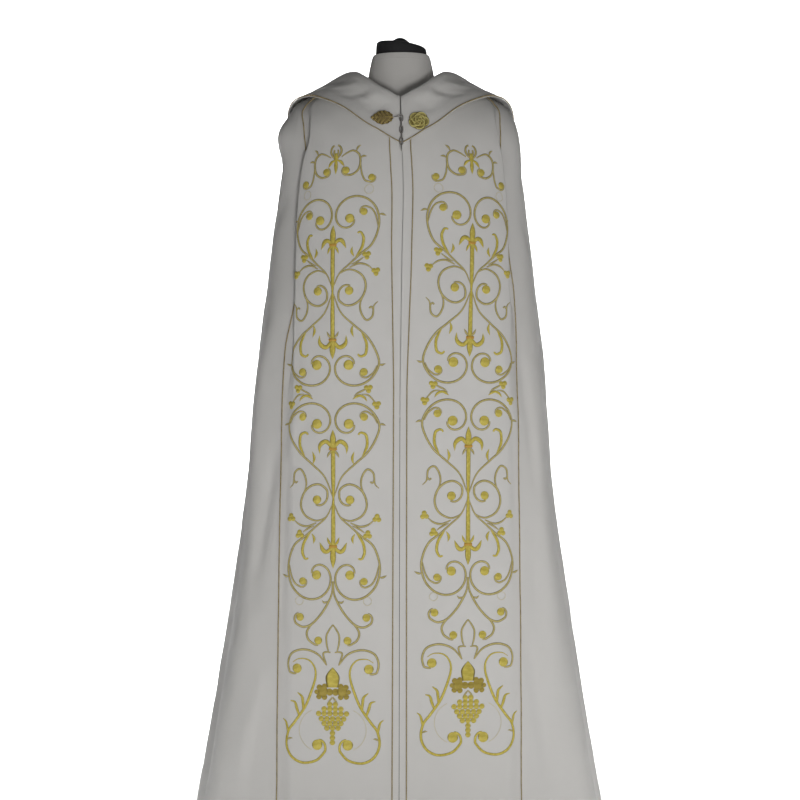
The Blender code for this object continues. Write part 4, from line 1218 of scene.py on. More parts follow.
for side in signOf:
    for kind, seam in (("inner", innerSeam[side]), ("outer", outerSeam)):
        points, normals, _ = faceGrid(side, [np.array([s]) for s in seam])
        points, normals = points[:, 0], normals[:, 0]
        addPiping(f"{kind}_{side}", points, normals)
    outer, normals = hoodFace[side]
    inwards = unit(outer[-4] - outer[-1])
    edge = outer[-1] + inwards * cordPlace["hoodIn"] + normals[-1] * cordPlace["hoodOut"]
    addPiping("hood_" + side, edge, normals[-1])
print("pipings ready")


# Millimetres from the orphrey's own axis (u, mirrored) and from a unit's middle (v).
# A scroll runs through a few points, then winds into a ball: "ball" is the centre, "wind" the
# turn in degrees, "close" the radius where it ends, "dot" the radius of the ball's stitches.
degreesPerPoint = 24


def spiral(ball, start, wind, close, even):
    # even 0 winds in by equal shares, 1 by equal steps
    away = np.array(start) - np.array(ball)
    radius = np.hypot(*away)
    angle = math.atan2(away[1], away[0])
    count = max(int(abs(wind) / degreesPerPoint), 3)
    share = np.linspace(0, 1, count + 1)[1:]
    radii = radius * (close / radius) ** share * (1 - even) + (radius + (close - radius) * share) * even
    angles = angle + np.radians(wind) * share
    return [(ball[0] + r * math.cos(a), ball[1] + r * math.sin(a)) for r, a in zip(radii, angles)]


def scroll(path, ball=None, wind=0, close=5.0, width=2.3, ends=(0.5, 0.9), dot=None, even=0.0):
    points = list(path)
    if ball is not None:
        points += spiral(ball, path[-1], wind, close, even)
    stroke = {"path": points, "width": width, "ends": ends}
    return stroke, ({"at": ball, "radius": dot} if dot else None)


def leafStroke(path, width, ends=(0.15, 0.05), crown=1.1):
    return {"path": path, "width": width, "ends": ends, "crown": crown, "leaf": True}


# Each unit is drawn in millimetres outwards from the orphrey's axis and upwards from its middle,
# and is worked again on the other side of the axis.
heartUnit = {
    "scrolls": (
        # upper heart, its volute and the small scroll inside it
        dict(
            path=((1, 4), (14, 31), (34, 49), (56, 68), (77, 84), (89, 108), (92, 131), (85, 155)),
            ball=(33, 138), wind=325, close=9.5, dot=9.4, even=0.5,
        ),
        dict(
            path=((90, 120), (85, 140), (77, 153), (68, 158)), ball=(61, 149), wind=150, close=7, dot=7.6,
            width=1.9,
        ),
        dict(
            path=((45, 60), (58, 79), (62, 97), (58, 108)), ball=(53, 106), wind=120, close=3.5, width=3.0,
            ends=(0.2, 0.6),
        ),
        # ring between the hearts
        dict(
            path=((8, 22), (16, 32), (35, 38), (57, 28), (66, 8), (60, -15), (45, -29), (28, -32), (14, -23)),
            ball=(33, -3), wind=-150, close=9, dot=8.8,
        ),
        # hook beside the ring
        dict(
            path=((61, -14), (55, -30), (57, -47), (67, -61), (79, -54), (82, -34), (90, -25)), width=2.1,
            ends=(0.5, 0.4),
        ),
        dict(path=((82, -42), (77, -35), (73, -38)), width=1.9),
        # lower heart, its volute and the small scroll inside it
        dict(
            path=((1, -8), (17, -46), (43, -71), (68, -93), (85, -120), (92, -146)), ball=(32, -149),
            wind=-355, close=10.5, dot=10.2, even=0.15,
        ),
        dict(
            path=((88, -150), (82, -163), (74, -170)), ball=(62, -163), wind=-150, close=7, dot=8.0,
            width=1.9,
        ),
        dict(
            path=((57, -84), (67, -105), (66, -126), (58, -132)), ball=(54, -126), wind=-100, close=3.5,
            width=3.0, ends=(0.2, 0.6),
        ),
    ),
    "leaves": (
        # leaflets, ticks and the sprigs of the buds
        dict(path=((43, 63), (38, 73), (40, 83)), width=2.8),
        dict(path=((41, -70), (38, -82), (42, -95)), width=2.8),
        dict(path=((90, 141), (97, 142), (106, 138)), width=2.4),
        dict(path=((90, -147), (97, -149), (105, -146)), width=2.4),
        dict(path=((38, 48), (50, 53), (62, 61)), width=1.9, ends=(0.5, 0.4)),
        dict(path=((34, 42), (52, 49), (68, 46), (81, 36)), width=2.2, ends=(0.5, 0.4)),
        # side petals of the upper lily
        dict(path=((3, 90), (12, 97), (20, 94), (27, 80)), width=4.4, ends=(0.7, 0.08), crown=1.6),
        dict(path=((2, 86), (8, 80), (12, 70)), width=2.6, ends=(0.8, 0.1)),
        # side petals of the lower lily, turned up
        dict(
            path=((3, -104), (12, -114), (21, -112), (27, -104), (27, -91)), width=4.6, ends=(0.7, 0.08),
            crown=1.6,
        ),
        dict(path=((2, -97), (8, -91), (12, -83)), width=2.4, ends=(0.8, 0.1)),
    ),
    "middle": (
        # centre petal, stem above and below, lower petal
        dict(path=((0, 88), (0, 100), (0, 112), (0, 127)), width=6.0, ends=(0.7, 0.02), crown=1.8),
        dict(path=((0, 90), (0, 66), (0, 34), (0, -8)), width=4.4, ends=(1.0, 0.45), crown=1.4),
        dict(path=((0, -2), (0, -40), (0, -72), (0, -98)), width=4.4, ends=(0.45, 1.0), crown=1.4),
        dict(path=((0, -100), (0, -112), (0, -124), (0, -138)), width=6.2, ends=(0.7, 0.02), crown=1.8),
    ),
    "collars": (88.0, -100.0),
    "buds": ((68, 65), (86, 33)),
}
bridgeUnit = {
    "scrolls": (
        dict(path=((42, 1), (50, 8), (58, 12), (68, 17)), width=1.9, ends=(0.2, 0.6)),
        dict(path=((40, -4), (52, 3), (62, 0), (68, -8)), width=2.6, ends=(0.2, 0.2)),
        dict(path=((58, 6), (72, 3), (84, -10)), width=1.7, ends=(0.3, 0.7)),
    ),
    "leaves": (),
    "middle": (),
    "collars": (),
    "buds": ((71, 17), (87, -15)),
}
crestUnit = {
    "scrolls": (
        dict(
            path=((12, 6), (25, 13), (38, 16), (50, 7), (52, -10), (47, -24), (34, -32), (21, -31)),
            ball=(22, -22), wind=-150, close=7.5, dot=7.6,
        ),
        dict(
            path=((53, -12), (55, -31), (61, -45), (69, -49)), ball=(75, -41), wind=150, close=7, dot=7.2,
            width=2.0,
        ),
        # open bud petals beside the axis
        dict(path=((1, 2), (8, 9), (12, 18), (9, 27), (4, 30)), width=2.2),
        dict(path=((2, 8), (5, 14), (4, 21)), width=1.9),
    ),
    "leaves": (
        dict(path=((44, 14), (48, 22), (55, 26)), width=2.3),
        dict(path=((52, -1), (58, 3), (66, 2)), width=2.3),
        dict(path=((3, 0), (11, -4), (18, -14)), width=3.0, ends=(0.5, 0.1)),
    ),
    "middle": (
        dict(path=((0, 14), (0, 8), (0, 2), (0, -4)), width=5.0, ends=(0.5, 0.5), crown=1.6),
        dict(path=((0, 2), (0, -8), (0, -16), (0, -28)), width=4.0, ends=(0.6, 0.05), crown=1.4),
    ),
    "collars": (),
    "buds": (),
}
innerArc = (
    (80, 84), (67, 91), (48, 89), (36, 75), (34, 56), (42, 28), (55, -3), (75, -32),
    (88, -50), (92, -77), (81, -100), (59, -111), (32, -106), (16, -90),
)
footUnit = {
    "scrolls": (
        # link scrolls down from the last heart
        dict(
            path=((1, 243), (2, 220), (9, 202), (23, 179), (42, 159), (59, 153), (73, 159)), ball=(66, 172),
            wind=130, close=8, dot=8.0,
        ),
        dict(
            path=((38, 162), (48, 151), (52, 140), (48, 128), (39, 121)), ball=(29, 127), wind=-60, close=8,
            dot=8.0,
        ),
        # lyre: outer arc and inner arc
        dict(
            path=((12, 79), (28, 99), (48, 108), (67, 108), (83, 100), (90, 83), (87, 66)), ball=(71, 72),
            wind=-60, close=9.5, dot=9.6,
        ),
        dict(path=innerArc, ball=(30, -76), wind=-120, close=10, dot=10.6, width=2.7, ends=(0.25, 0.9)),
        # drop shaped outline between the link scrolls, and the bracket under it
        dict(path=((0, 158), (7, 148), (12.5, 136), (12, 120), (8.5, 106)), width=1.9, ends=(0.7, 0.7)),
        dict(path=((4, 104), (12, 105), (18, 103), (18, 96), (12, 79)), width=1.9, ends=(0.6, 0.6)),
    ),
    "leaves": (
        # leaves on the outside of the lyre, turned up
        dict(path=((58, -8), (59, 6), (61, 17), (70, 25)), width=3.0, ends=(0.7, 0.3)),
        dict(path=((66, -20), (71, -6), (75, 6), (84, 9)), width=3.0, ends=(0.7, 0.3)),
        dict(path=((89, -54), (91, -41), (94, -32), (100, -27)), width=2.6, ends=(0.7, 0.3)),
        dict(path=((91, -68), (85, -64), (79, -64)), width=2.0),
        dict(path=((9, 204), (17, 201), (22, 206)), width=2.2),
        # chevron over the grapes
        dict(path=((0, 17), (5, 11), (10, 5)), width=1.8, ends=(0.6, 0.4)),
    ),
    "middle": (dict(path=((0, 36), (0, 48), (0, 60), (0, 75)), width=14.2, ends=(0.78, 0.03), crown=1.7),),
    "collars": (),
    "buds": (),
}
# grapes in rows, each row as its height from the middle and its count
clusters = {
    "middle": 0.287,
    "grapes": {"radius": 5.5, "crown": 1.6 * mm, "pitch": 11.0},
    "rows": ((3, 2), (-6, 4), (-15, 6), (-25, 5), (-34, 4), (-43, 3), (-53, 1), (-62, 1), (-71, 1)),
}
# a vine leaf as round lobes: place across, height from the middle, radius
vineLeaf = {
    "crown": 0.16,  # share of a lobe's radius
    "lobes": (
        (19, 28, 10.0),
        (16, 38, 5.6),
        (26, 36, 5.8),
        (31.5, 27, 4.8),
        (27, 18, 5.6),
        (16, 17, 5.6),
        (6, 27, 7.2),
    ),
}
budSizes = {"turns": (0.6, 2.7, 4.8), "reach": 4.4, "radius": 5.0, "crown": 1.3 * mm}
collarSizes = {"reach": 8.0, "width": 4.4, "crown": 2.0, "ends": (0.6, 0.6)}
# where the middle of each orphrey's work runs, how far it was worked higher, and how much
# its half beside the shoulder fold is drawn in
axes = table(
    "height left right raisedLeft raisedRight outer",
    (0.00, 0.1305, 0.1345, 0.0000, 0.0160, 1.00),
    (0.18, 0.1305, 0.1345, 0.0000, 0.0160, 1.00),
    (0.42, 0.1305, 0.1345, 0.0000, 0.0110, 1.00),
    (0.55, 0.1305, 0.1345, 0.0000, 0.0080, 1.00),
    (0.70, 0.1305, 0.1345, 0.0000, 0.0020, 1.00),
    (0.97, 0.1340, 0.1365, 0.0000, 0.0000, 0.99),
    (1.08, 0.1360, 0.1380, 0.0000, 0.0000, 0.94),
    (1.22, 0.1385, 0.1400, 0.0000, 0.0000, 0.86),
    (1.30, 0.1375, 0.1400, 0.0000, 0.0000, 0.88),
    (1.36, 0.1365, 0.1410, 0.0000, 0.0000, 0.94),
    (1.50, 0.1365, 0.1410, 0.0000, 0.0000, 0.94),
)
# how far each height of a unit was worked above its place, on each side, in millimetres
seatColumns = "up left right"
seats = {
    "level": table(seatColumns, (-200, 0, 0), (200, 0, 0)),
    "chest": table(seatColumns, (-190, 0, 5.5), (100, 0, 4.5), (190, 1.5, 7.5)),
    "bridge": table(seatColumns, (-50, 0, 7.5), (50, 0, 7.5)),
    "waist": table(
        seatColumns,
        (-181, -8.5, -8.0),
        (-142, -3.0, -3.0),
        (-88, 3.0, 1.0),
        (-38, 3.5, 5.0),
        (0, 3.5, 9.0),
        (100, 6.5, 10.5),
        (184, 6.0, 13.0),
    ),
}
# how much the work dips towards the shoulder
tilts = table(
    "height left right",
    (0.94, 0.0000, 0.000),
    (1.00, 0.0000, 0.020),
    (1.09, 0.0133, 0.050),
    (1.18, 0.0425, 0.090),
    (1.27, 0.0717, 0.115),
    (1.36, 0.0850, 0.090),
)
needlework = {
    "units": (
        (heartUnit, 1.103, 1.0, seats["chest"]),
        (bridgeUnit, 0.8905, 1.0, seats["bridge"]),
        (heartUnit, 0.6825, -1.0, seats["waist"]),
        (crestUnit, 1.360, 1.0, seats["level"]),
        (footUnit, 0.287, 1.0, seats["level"]),
    ),
    "crown": 1.0,
    "step": 2.2,
    "taper": 0.35,  # share of a line over which each end draws in
    "leafTaper": 0.55,
    "edgeCrown": (0.6, 0.2),  # a crown stays under this share of the half width and a little more
    "fineWidth": 2.45,  # lines up to this half width are worked in the darker thread
    "underlay": 0.3,
}


def strokeWidths(count, width, ends, taper):
    # full in the middle, drawn in at both ends
    t = np.linspace(0, 1, count)
    rise = ends[0] + (1 - ends[0]) * np.sin(np.clip(t / taper, 0, 1) * math.pi / 2)
    fall = ends[1] + (1 - ends[1]) * np.sin(np.clip((1 - t) / taper, 0, 1) * math.pi / 2)
    return width * np.minimum(rise, fall)


def onFace(side, points, seat, mirror):
    # millimetres of a unit to points and normals on the face
    middle, flip, moves = seat
    points = np.array(points, dtype=float)
    out = points[:, 0] * mirror * mm  # + away from the opening
    up = points[:, 1] * flip
    level = middle + up * mm
    axis = np.interp(level, axes["height"], axes[side])
    out = out * np.where(out > 0, np.interp(level, axes["height"], axes["outer"]), 1.0)
    raised = np.interp(level, axes["height"], axes[sided("raised", side)])
    moved = np.interp(up, moves["up"], moves[side]) * mm
    dip = out * np.interp(level, tilts["height"], tilts[side])
    return faces[side].place(axis + out, level + raised + moved - dip)


def addStroke(strokes, side, stroke, seat, mirror):
    path = smoothPath(np.array(stroke["path"]), needlework["step"])
    points, normals = onFace(side, path, seat, mirror)
    taper = needlework["leafTaper" if stroke.get("leaf") else "taper"]
    widths = strokeWidths(len(path), stroke["width"], stroke["ends"], taper) * mm
    share, more = needlework["edgeCrown"]
    crowns = np.minimum(stroke.get("crown", needlework["crown"]) * mm, widths * share + more * mm)
    row = {"points": points, "normals": normals, "widths": widths, "crowns": crowns}
    strokes.append({**row, "fine": stroke["width"] <= needlework["fineWidth"]})


def addDot(dots, side, at, radius, seat, mirror, crown=1.5 * mm):
    points, normals = onFace(side, [at], seat, mirror)
    dots.append({"point": points[0], "normal": normals[0], "radius": radius * mm, "crown": crown})


def embroiderUnit(side, unitRows, seat):
    # one unit: golden lines, dots, and the warmer fillings of the lily collars
    strokes, dots, warm = [], [], []
    for mirror in (1, -1):
        for row in unitRows["scrolls"]:
            stroke, dot = scroll(**row)
            addStroke(strokes, side, stroke, seat, mirror)
            if dot:
                addDot(dots, side, dot["at"], dot["radius"], seat, mirror)
        for row in unitRows["leaves"]:
            addStroke(strokes, side, leafStroke(**row), seat, mirror)
        for u, v in unitRows["buds"]:
            for turn in budSizes["turns"]:
                spot = (u + budSizes["reach"] * math.cos(turn), v + budSizes["reach"] * math.sin(turn))
                addDot(dots, side, spot, budSizes["radius"], seat, mirror, budSizes["crown"])
    for row in unitRows["middle"]:
        addStroke(strokes, side, leafStroke(**row), seat, 1)
    for v in unitRows["collars"]:
        reach = collarSizes["reach"]
        path = ((-reach, v), (0, v), (reach, v))
        bar = leafStroke(path, collarSizes["width"], collarSizes["ends"], collarSizes["crown"])
        addStroke(warm, side, bar, seat, 1)
    return strokes, dots, warm


def embroider(side):
    strokes, dots, warm, vine = [], [], [], []
    for unitRows, *seat in needlework["units"]:
        for worked, added in zip((strokes, dots, warm), embroiderUnit(side, unitRows, seat)):
            worked.extend(added)
    seat, grape = (clusters["middle"], 1.0, seats["level"]), clusters["grapes"]
    for v, count in clusters["rows"]:
        for k in range(count):
            spot = ((k - (count - 1) / 2) * grape["pitch"], v)
            addDot(dots, side, spot, grape["radius"], seat, 1, grape["crown"])
    for u, v, radius in vineLeaf["lobes"]:
        for mirror in (1, -1):
            addDot(vine, side, (u, v), radius, seat, mirror, radius * vineLeaf["crown"] * mm)
    return strokes, dots, warm, vine


# pale rings and arcs in a thin cream thread: unit middle, u, v, radius, angles
wholeRing = np.linspace(0, 2 * math.pi, 39, endpoint=False)
openArc = np.linspace(-1.15, 1.15, 30)
creamRings = (
    (0.287, 24, -47, 42, openArc),
    (0.287, 68, 204, 8, wholeRing),
    (1.360, 70, -64, 9, wholeRing),
)
creamThread = {"widths": 1.0 * mm, "crowns": 0.35 * mm}


def makeRings(side):
    strokes = []
    for middle, u, v, radius, angles in creamRings:
        for mirror in (1, -1):
            path = [(u + radius * math.cos(a), v + radius * math.sin(a)) for a in angles]
            points, normals = onFace(side, path, (middle, 1.0, seats["level"]), mirror)
            strokes.append({"points": points, "normals": normals, **creamThread})
    return strokes


embroideries = {}
for side in signOf:
    strokes, dots, warm, vine = embroider(side)
    fine = [row for row in strokes if row["fine"]]
    broad = [row for row in strokes if not row["fine"]]
    layers = (
        ("embroidery_lines_", fine, (), "lineThread", "gold_piping", 9),
        ("embroidery_", broad, dots, "embroidery", "gold_piping", 9),
        ("lily_collars_", warm, (), "warmThread", "gold_piping", 9),
        ("vine_leaves_", (), vine, "darkThread", "gold_piping", 9),
        ("cream_rings_", makeRings(side), (), "paleThread", "ivory_cloth", 7),
    )
    embroideries[side] = []
    for label, rows, spots, finish, slot, sides in layers:
        source = lineMesh(label + side, rows, spots)
        values = {"Sides": sides, "Underlay": needlework["underlay"]}
        embroideries[side].append(growNodes(label + side, source, satinTree, values, finish, slot))
print("embroidery ready")


formRows = table(
    "order frontHeight sideHeight backHeight halfWidth front back",
    (0, 1.588, 1.588, 1.588, 0.0585, 0.055, 0.055),
    (1, 1.560, 1.560, 1.562, 0.0650, 0.060, 0.058),
    (2, 1.515, 1.538, 1.545, 0.0690, 0.066, 0.061),
    (3, 1.478, 1.520, 1.528, 0.080, 0.088, 0.068),
    (4, 1.440, 1.510, 1.503, 0.122, 0.106, 0.086),
    (5, 1.405, 1.489, 1.468, 0.166, 0.116, 0.106),
    (6, 1.360, 1.455, 1.420, 0.198, 0.122, 0.119),
    (7, 1.310, 1.400, 1.360, 0.208, 0.125, 0.124),
    (8, 1.240, 1.280, 1.280, 0.190, 0.122, 0.118),
    (9, 1.150, 1.160, 1.160, 0.158, 0.108, 0.104),
    (10, 1.060, 1.060, 1.060, 0.132, 0.092, 0.092),
    (11, 0.960, 0.960, 0.960, 0.148, 0.104, 0.110),
    (12, 0.890, 0.890, 0.890, 0.154, 0.108, 0.116),
    (13, 0.850, 0.850, 0.850, 0.146, 0.102, 0.110),
)
formCut = {"sides": 96, "perRow": 5, "square": 2.2, "sway": 0.0025, "swayStart": 1.50, "swayReach": 0.05}
neckRim = {"edge": 0.0035, "radius": 0.058, "shares": (0.0, 0.3, 0.6, 0.85)}
neckStitch = {"order": 0.42, "step": 0.004, "Pitch": 0.0036, "Length": 0.0027}
neckTop = formRows["frontHeight"][0]


def formRing(order):
    row = rowAt(formRows, order, "order")
    angles = np.linspace(0, 2 * math.pi, formCut["sides"], endpoint=False)
    ahead = np.cos(angles) >= 0
    power = 2 / formCut["square"]
    x = row["halfWidth"] * np.sign(np.sin(angles)) * np.abs(np.sin(angles)) ** power
    y = np.where(ahead, -row["front"], row["back"]) * np.abs(np.cos(angles)) ** power
    end = np.where(ahead, row["frontHeight"], row["backHeight"])
    z = row["sideHeight"] + (end - row["sideHeight"]) * np.cos(angles) ** 2
    sway = formCut["sway"] * ease((z - formCut["swayStart"]) / formCut["swayReach"])
    return np.stack([x + sway, y, z], axis=1)


def loftMesh(name, rings):
    # a closed solid through rings of equal count, with a centre point at each end
    sides, count = len(rings[0]), len(rings)
    points = np.concatenate(rings + [rings[0].mean(axis=0)[None], rings[-1].mean(axis=0)[None]])
    facesOut, uvs = [], []
    down = along(np.array([ring[0] for ring in rings]))
    around = along(np.concatenate([rings[count // 3], rings[count // 3][:1]]))
    for level in range(count - 1):
        for k in range(sides):
            a, b = level * sides + k, level * sides + (k + 1) % sides
            facesOut.append((a, b, b + sides, a + sides))
            uvs += [(around[k], -down[level]), (around[k + 1], -down[level])]
            uvs += [(around[k + 1], -down[level + 1]), (around[k], -down[level + 1])]
    for level, centre, turned in ((0, len(points) - 2, True), (count - 1, len(points) - 1, False)):
        for k in range(sides):
            a, b = level * sides + k, level * sides + (k + 1) % sides
            face = (b, a, centre) if turned else (a, b, centre)
            facesOut.append(face)
            uvs += [tuple(points[i][:2]) for i in face]
    mesh = addMesh(name, points, facesOut, sharp=60)
    layer = mesh.uv_layers.new(name="cut")
    layer.data.foreach_set("uv", np.array(uvs, dtype=np.float32).ravel())
    return mesh


def makeForm():
    last = len(formRows["order"]) - 1
    top, *rings = [formRing(order) for order in np.linspace(0, last, last * formCut["perRow"] + 1)]
    middle = top.mean(axis=0)
    # the jersey turns over a rounded rim at the top of the neck
    rim = []
    for share in neckRim["shares"]:
        turn = share * math.pi / 2
        shrink = 1 - neckRim["edge"] * math.cos(turn) / neckRim["radius"]
        ring = middle + (top - middle) * [shrink, shrink, 1]
        ring[:, 2] = neckTop - neckRim["edge"] * (1 - math.cos(math.pi / 2 - turn))
        rim.append(ring)
    mesh = loftMesh("form_cover", (rim + rings)[::-1])
    piece = finishObject("form_cover", mesh, "jersey", "form_cover")
    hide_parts("form_torso")
    # topstitching round the neck, below its rim
    points = smoothPath(formRing(neckStitch["order"]), neckStitch["step"], closed=True)
    outwards = unit((points - points.mean(axis=0)) * [1, 1, 0])
    addPath("form_topstitch", points, outwards, dashTree, neckStitch, "topstitch", "form_cover")
    return piece


capRows = table(
    "order radius height fall",
    (0, 0.0525, 0.0000, 0.0),
    (1, 0.0520, 0.0120, 0.5),
    (2, 0.0505, 0.0205, 1.0),
    (3, 0.0470, 0.0235, 1.0),
    (4, 0.0260, 0.0265, 1.0),
    (5, 0.0080, 0.0370, 1.0),
    (6, 0.0020, 0.0385, 1.0),
)
capCut = {"sides": 72, "rings": 37, "tilt": 0.13, "gap": 0.4 * mm}
capDent = {"depth": 0.012, "count": 3, "turn": 0.7, "end": 5, "fade": 2}  # end and fade by order


def makeCap():
    angles = np.linspace(0, 2 * math.pi, capCut["sides"], endpoint=False)
    rings = []
    for order in np.linspace(0, len(capRows["order"]) - 1, capCut["rings"]):
        row = rowAt(capRows, order, "order")
        wave = capDent["depth"] * np.sin(capDent["count"] * angles + capDent["turn"])
        dented = ease(order) * ease((capDent["end"] - order) / capDent["fade"])
        radius = row["radius"] * (1 + wave * dented)
        x, y = radius * np.cos(angles) + formCut["sway"], radius * np.sin(angles)
        z = neckTop + capCut["gap"] + row["height"] - row["fall"] * x * capCut["tilt"]
        rings.append(np.stack([x, y, z], axis=1))
    piece = finishObject("felt_cap", loftMesh("felt_cap", rings), "felt", "form_cap")
    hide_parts("form_cap")


formPiece = makeForm()
makeCap()
for name in ("stand_base", "stand_pole"):
    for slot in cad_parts[name].material_slots:
        slot.material = finishes["paint"]
print("form and stand ready")


plate = {"lift": 0.0020, "rings": 44, "sides": 192, "sharp": 70}
# painted shade in the hollows and wear on the high places of the metal: how far the height stands over the
# height around it, felt this many points wide
shadeAndWear = {"contrast": 0.0011, "level": 0.45, "around": range(-9, 10, 3), "rings": 4}
wire = {"width": 0.0017, "step": 0.0007, "eyeWidth": 0.0080, "eyeLength": 0.0150, "sides": 14}
# the eye's shank: how far behind the loop it starts, its gap to the leaf, its two ends, its turn
shank = {"behind": 0.0035, "gap": 0.0008, "in": 0.004, "out": 0.0035, "turn": 2.0, "close": 1.15, "top": -0.2}
# the eye's upper and lower bend: start and end in half turns, and how many points
eyeBends = ((0.75, 0.0, 6), (0.0, -1.0, 8))
chain = {
    "x": 0.0035,
    "count": 5,
    "length": 0.0160,
    "width": 0.0076,
    "play": 0.0003,
    "standoff": 0.0085,
    "slope": math.radians(14),
}
# where on the hood the plates are looked for: turns, columns, steps between rows, and front
spotSearch = {"start": 0.002, "end": 0.35, "columns": 120, "perRow": 12, "front": -0.11}


def hoodSpot(side, x, z):
    # a frame on the hood's face with z outwards and y up the hood
    turns = np.linspace(spotSearch["start"], spotSearch["end"], spotSearch["columns"])
    grid, normals = hoodGrid(side, turns)
    finer = np.linspace(0, len(grid) - 1, spotSearch["perRow"] * (len(grid) - 1) + 1)
    low = np.minimum(finer.astype(int), len(grid) - 2)
    share = (finer - low)[:, None, None]
    points = (grid[low] * (1 - share) + grid[low + 1] * share).reshape(-1, 3)
    ways = (normals[low] * (1 - share) + normals[low + 1] * share).reshape(-1, 3)
    behind = points[:, 1] >= spotSearch["front"]
    best = int(np.argmin(np.hypot(points[:, 0] - x, points[:, 2] - z) + behind))
    out = Vector(ways[best]).normalized()
    up = (Vector((0, 0, 1)) - out * out.z).normalized()
    turned = Matrix((up.cross(out), up, out)).transposed().to_4x4()
    turned.translation = Vector((x, points[best][1], z))
    return turned


def reliefMesh(name, reachOf, heightOf, placeAt):
    # a cast plate: outline reach and face height by angle and share of the reach; flat behind
    rings, sides = plate["rings"], plate["sides"]
    angles = np.linspace(0, 2 * math.pi, sides, endpoint=False)
    reach = np.array([reachOf(a) for a in angles])
    rows = []
    for share in np.linspace(0, 1, rings + 1)[1:]:
        x, y = share * reach[:, 0], share * reach[:, 1]
        rows.append(np.stack([x, y, heightOf(x, y, share, angles)], axis=1))
    heights = np.array(rows)[:, :, 2]
    around = np.mean([np.roll(heights, step, axis=1) for step in shadeAndWear["around"]], axis=0)
    wide = np.pad(around, ((shadeAndWear["rings"], shadeAndWear["rings"]), (0, 0)), mode="edge")
    level = np.mean([wide[step : step + rings] for step in range(2 * shadeAndWear["rings"] + 1)], axis=0)
    # darker where a place lies below its neighbours, as painted shade; brighter where it stands over them, as
    # rubbed wear
    hollowShadeAndWear = np.clip(shadeAndWear["level"] + (heights - level) / shadeAndWear["contrast"], 0, 1)
    rim = rows[-1] * [1, 1, 0]
    points = np.concatenate(rows + [rim, [[0, 0, float(heights[0].mean())]], [[0, 0, 0]]])
    facesOut = []
    for ring in range(rings):
        for k in range(sides):
            a, b = ring * sides + k, ring * sides + (k + 1) % sides
            facesOut.append((a, a + sides, b + sides, b))
    top, back = len(points) - 2, len(points) - 1
    for k in range(sides):
        facesOut.append((top, k, (k + 1) % sides))
        facesOut.append((back, rings * sides + (k + 1) % sides, rings * sides + k))
    mesh = addMesh(name, points, facesOut, plate["sharp"])
    values = np.concatenate([hollowShadeAndWear.ravel(), np.zeros(sides), [1.0, 0.0]])
    mesh.attributes.new("hollowShadeAndWear", "FLOAT", "POINT").data.foreach_set("value", values.astype(np.float32))
    mesh.transform(placeAt)
    return mesh


def bell(x, middle, width):
    return np.exp(-(((x - middle) / width) ** 2))


leafPlate = {
    "x": -0.0355,
    "z": 1.4440,
    "length": 0.0460,
    "height": 0.0310,
    "narrowing": (0.62, 1.7),  # towards the tip: how much, and how suddenly
    "teeth": (0.06, 6.5, 0.4, 1.5),  # depth, half turns, turn, sharpness
    "dome": 0.0033,
    "fall": 0.0022,  # from the middle to the rim
    "midrib": (0.0010, 0.0011),  # height and half width
    "veins": (0.00042, 1.4, 2.6, 0.35),  # height, counts across and along, share at the middle
    "beads": (0.0006, 1500.0, 0.6),  # height, pitch and shift
    "rimBeads": (0.0006, 20, 0.88, 0.08),  # height, count, share of the reach and its width
}


def makeLeaf(placeAt):
    half, tall = leafPlate["length"] / 2, leafPlate["height"] / 2

    def reachOf(a):
        much, sudden = leafPlate["narrowing"]
        depth, count, turn, sharpness = leafPlate["teeth"]
        taper = 1 - much * max(-math.cos(a), 0.0) ** sudden
        tooth = 1 - depth * abs(math.sin(count * a + turn)) ** sharpness
        return half * math.cos(a) * tooth, tall * math.sin(a) * taper * tooth

    def heightOf(x, y, share, angles):
        ribHeight, ribWidth = leafPlate["midrib"]
        veinHeight, across, lengthways, least = leafPlate["veins"]
        beadHeight, pitch, shift = leafPlate["beads"]
        rimHeight, count, place, width = leafPlate["rimBeads"]
        dome = leafPlate["dome"] - leafPlate["fall"] * share**3
        midrib = ribHeight * bell(y, 0.0, ribWidth)
        lean = np.abs(y) / tall * across + x / half * lengthways
        veins = veinHeight * np.cos(lean * math.pi * 2.0) * (least + (1 - least) * share)
        beads = beadHeight * np.cos(x * pitch) * np.cos(y * pitch + shift)
        rimBeads = rimHeight * np.cos(angles * count) * bell(share, place, width)
        return dome + midrib + veins + beads + rimBeads

    return reliefMesh("gilt_leaf", reachOf, heightOf, placeAt)


rosePlate = {
    "x": 0.0370,
    "z": 1.4375,
    "radius": 0.0210,
    "squat": 0.93,
    "lobes": (5, 0.10, 0.6),  # count, depth and sharpness of the outline's lobes
    "ground": 0.0012,
    "heart": (0.0054, 0.0010, 0.13),  # height, fall and reach
    "petalEdge": (1.04, 0.14),  # where a petal ends and how softly
}
# petals by whorl: count, turn, then middle, length and width as shares of the rose's radius,
# then the height at the petal's base, how much it cups and how much it leans
whorls = (
    (5, -1.45, 0.56, 0.44, 0.56, 0.0017, 0.0017, 0.0006),
    (5, -0.80, 0.36, 0.34, 0.38, 0.0029, 0.0013, 0.0005),
    (3, -1.30, 0.19, 0.22, 0.23, 0.0040, 0.0011, 0.0004),
)


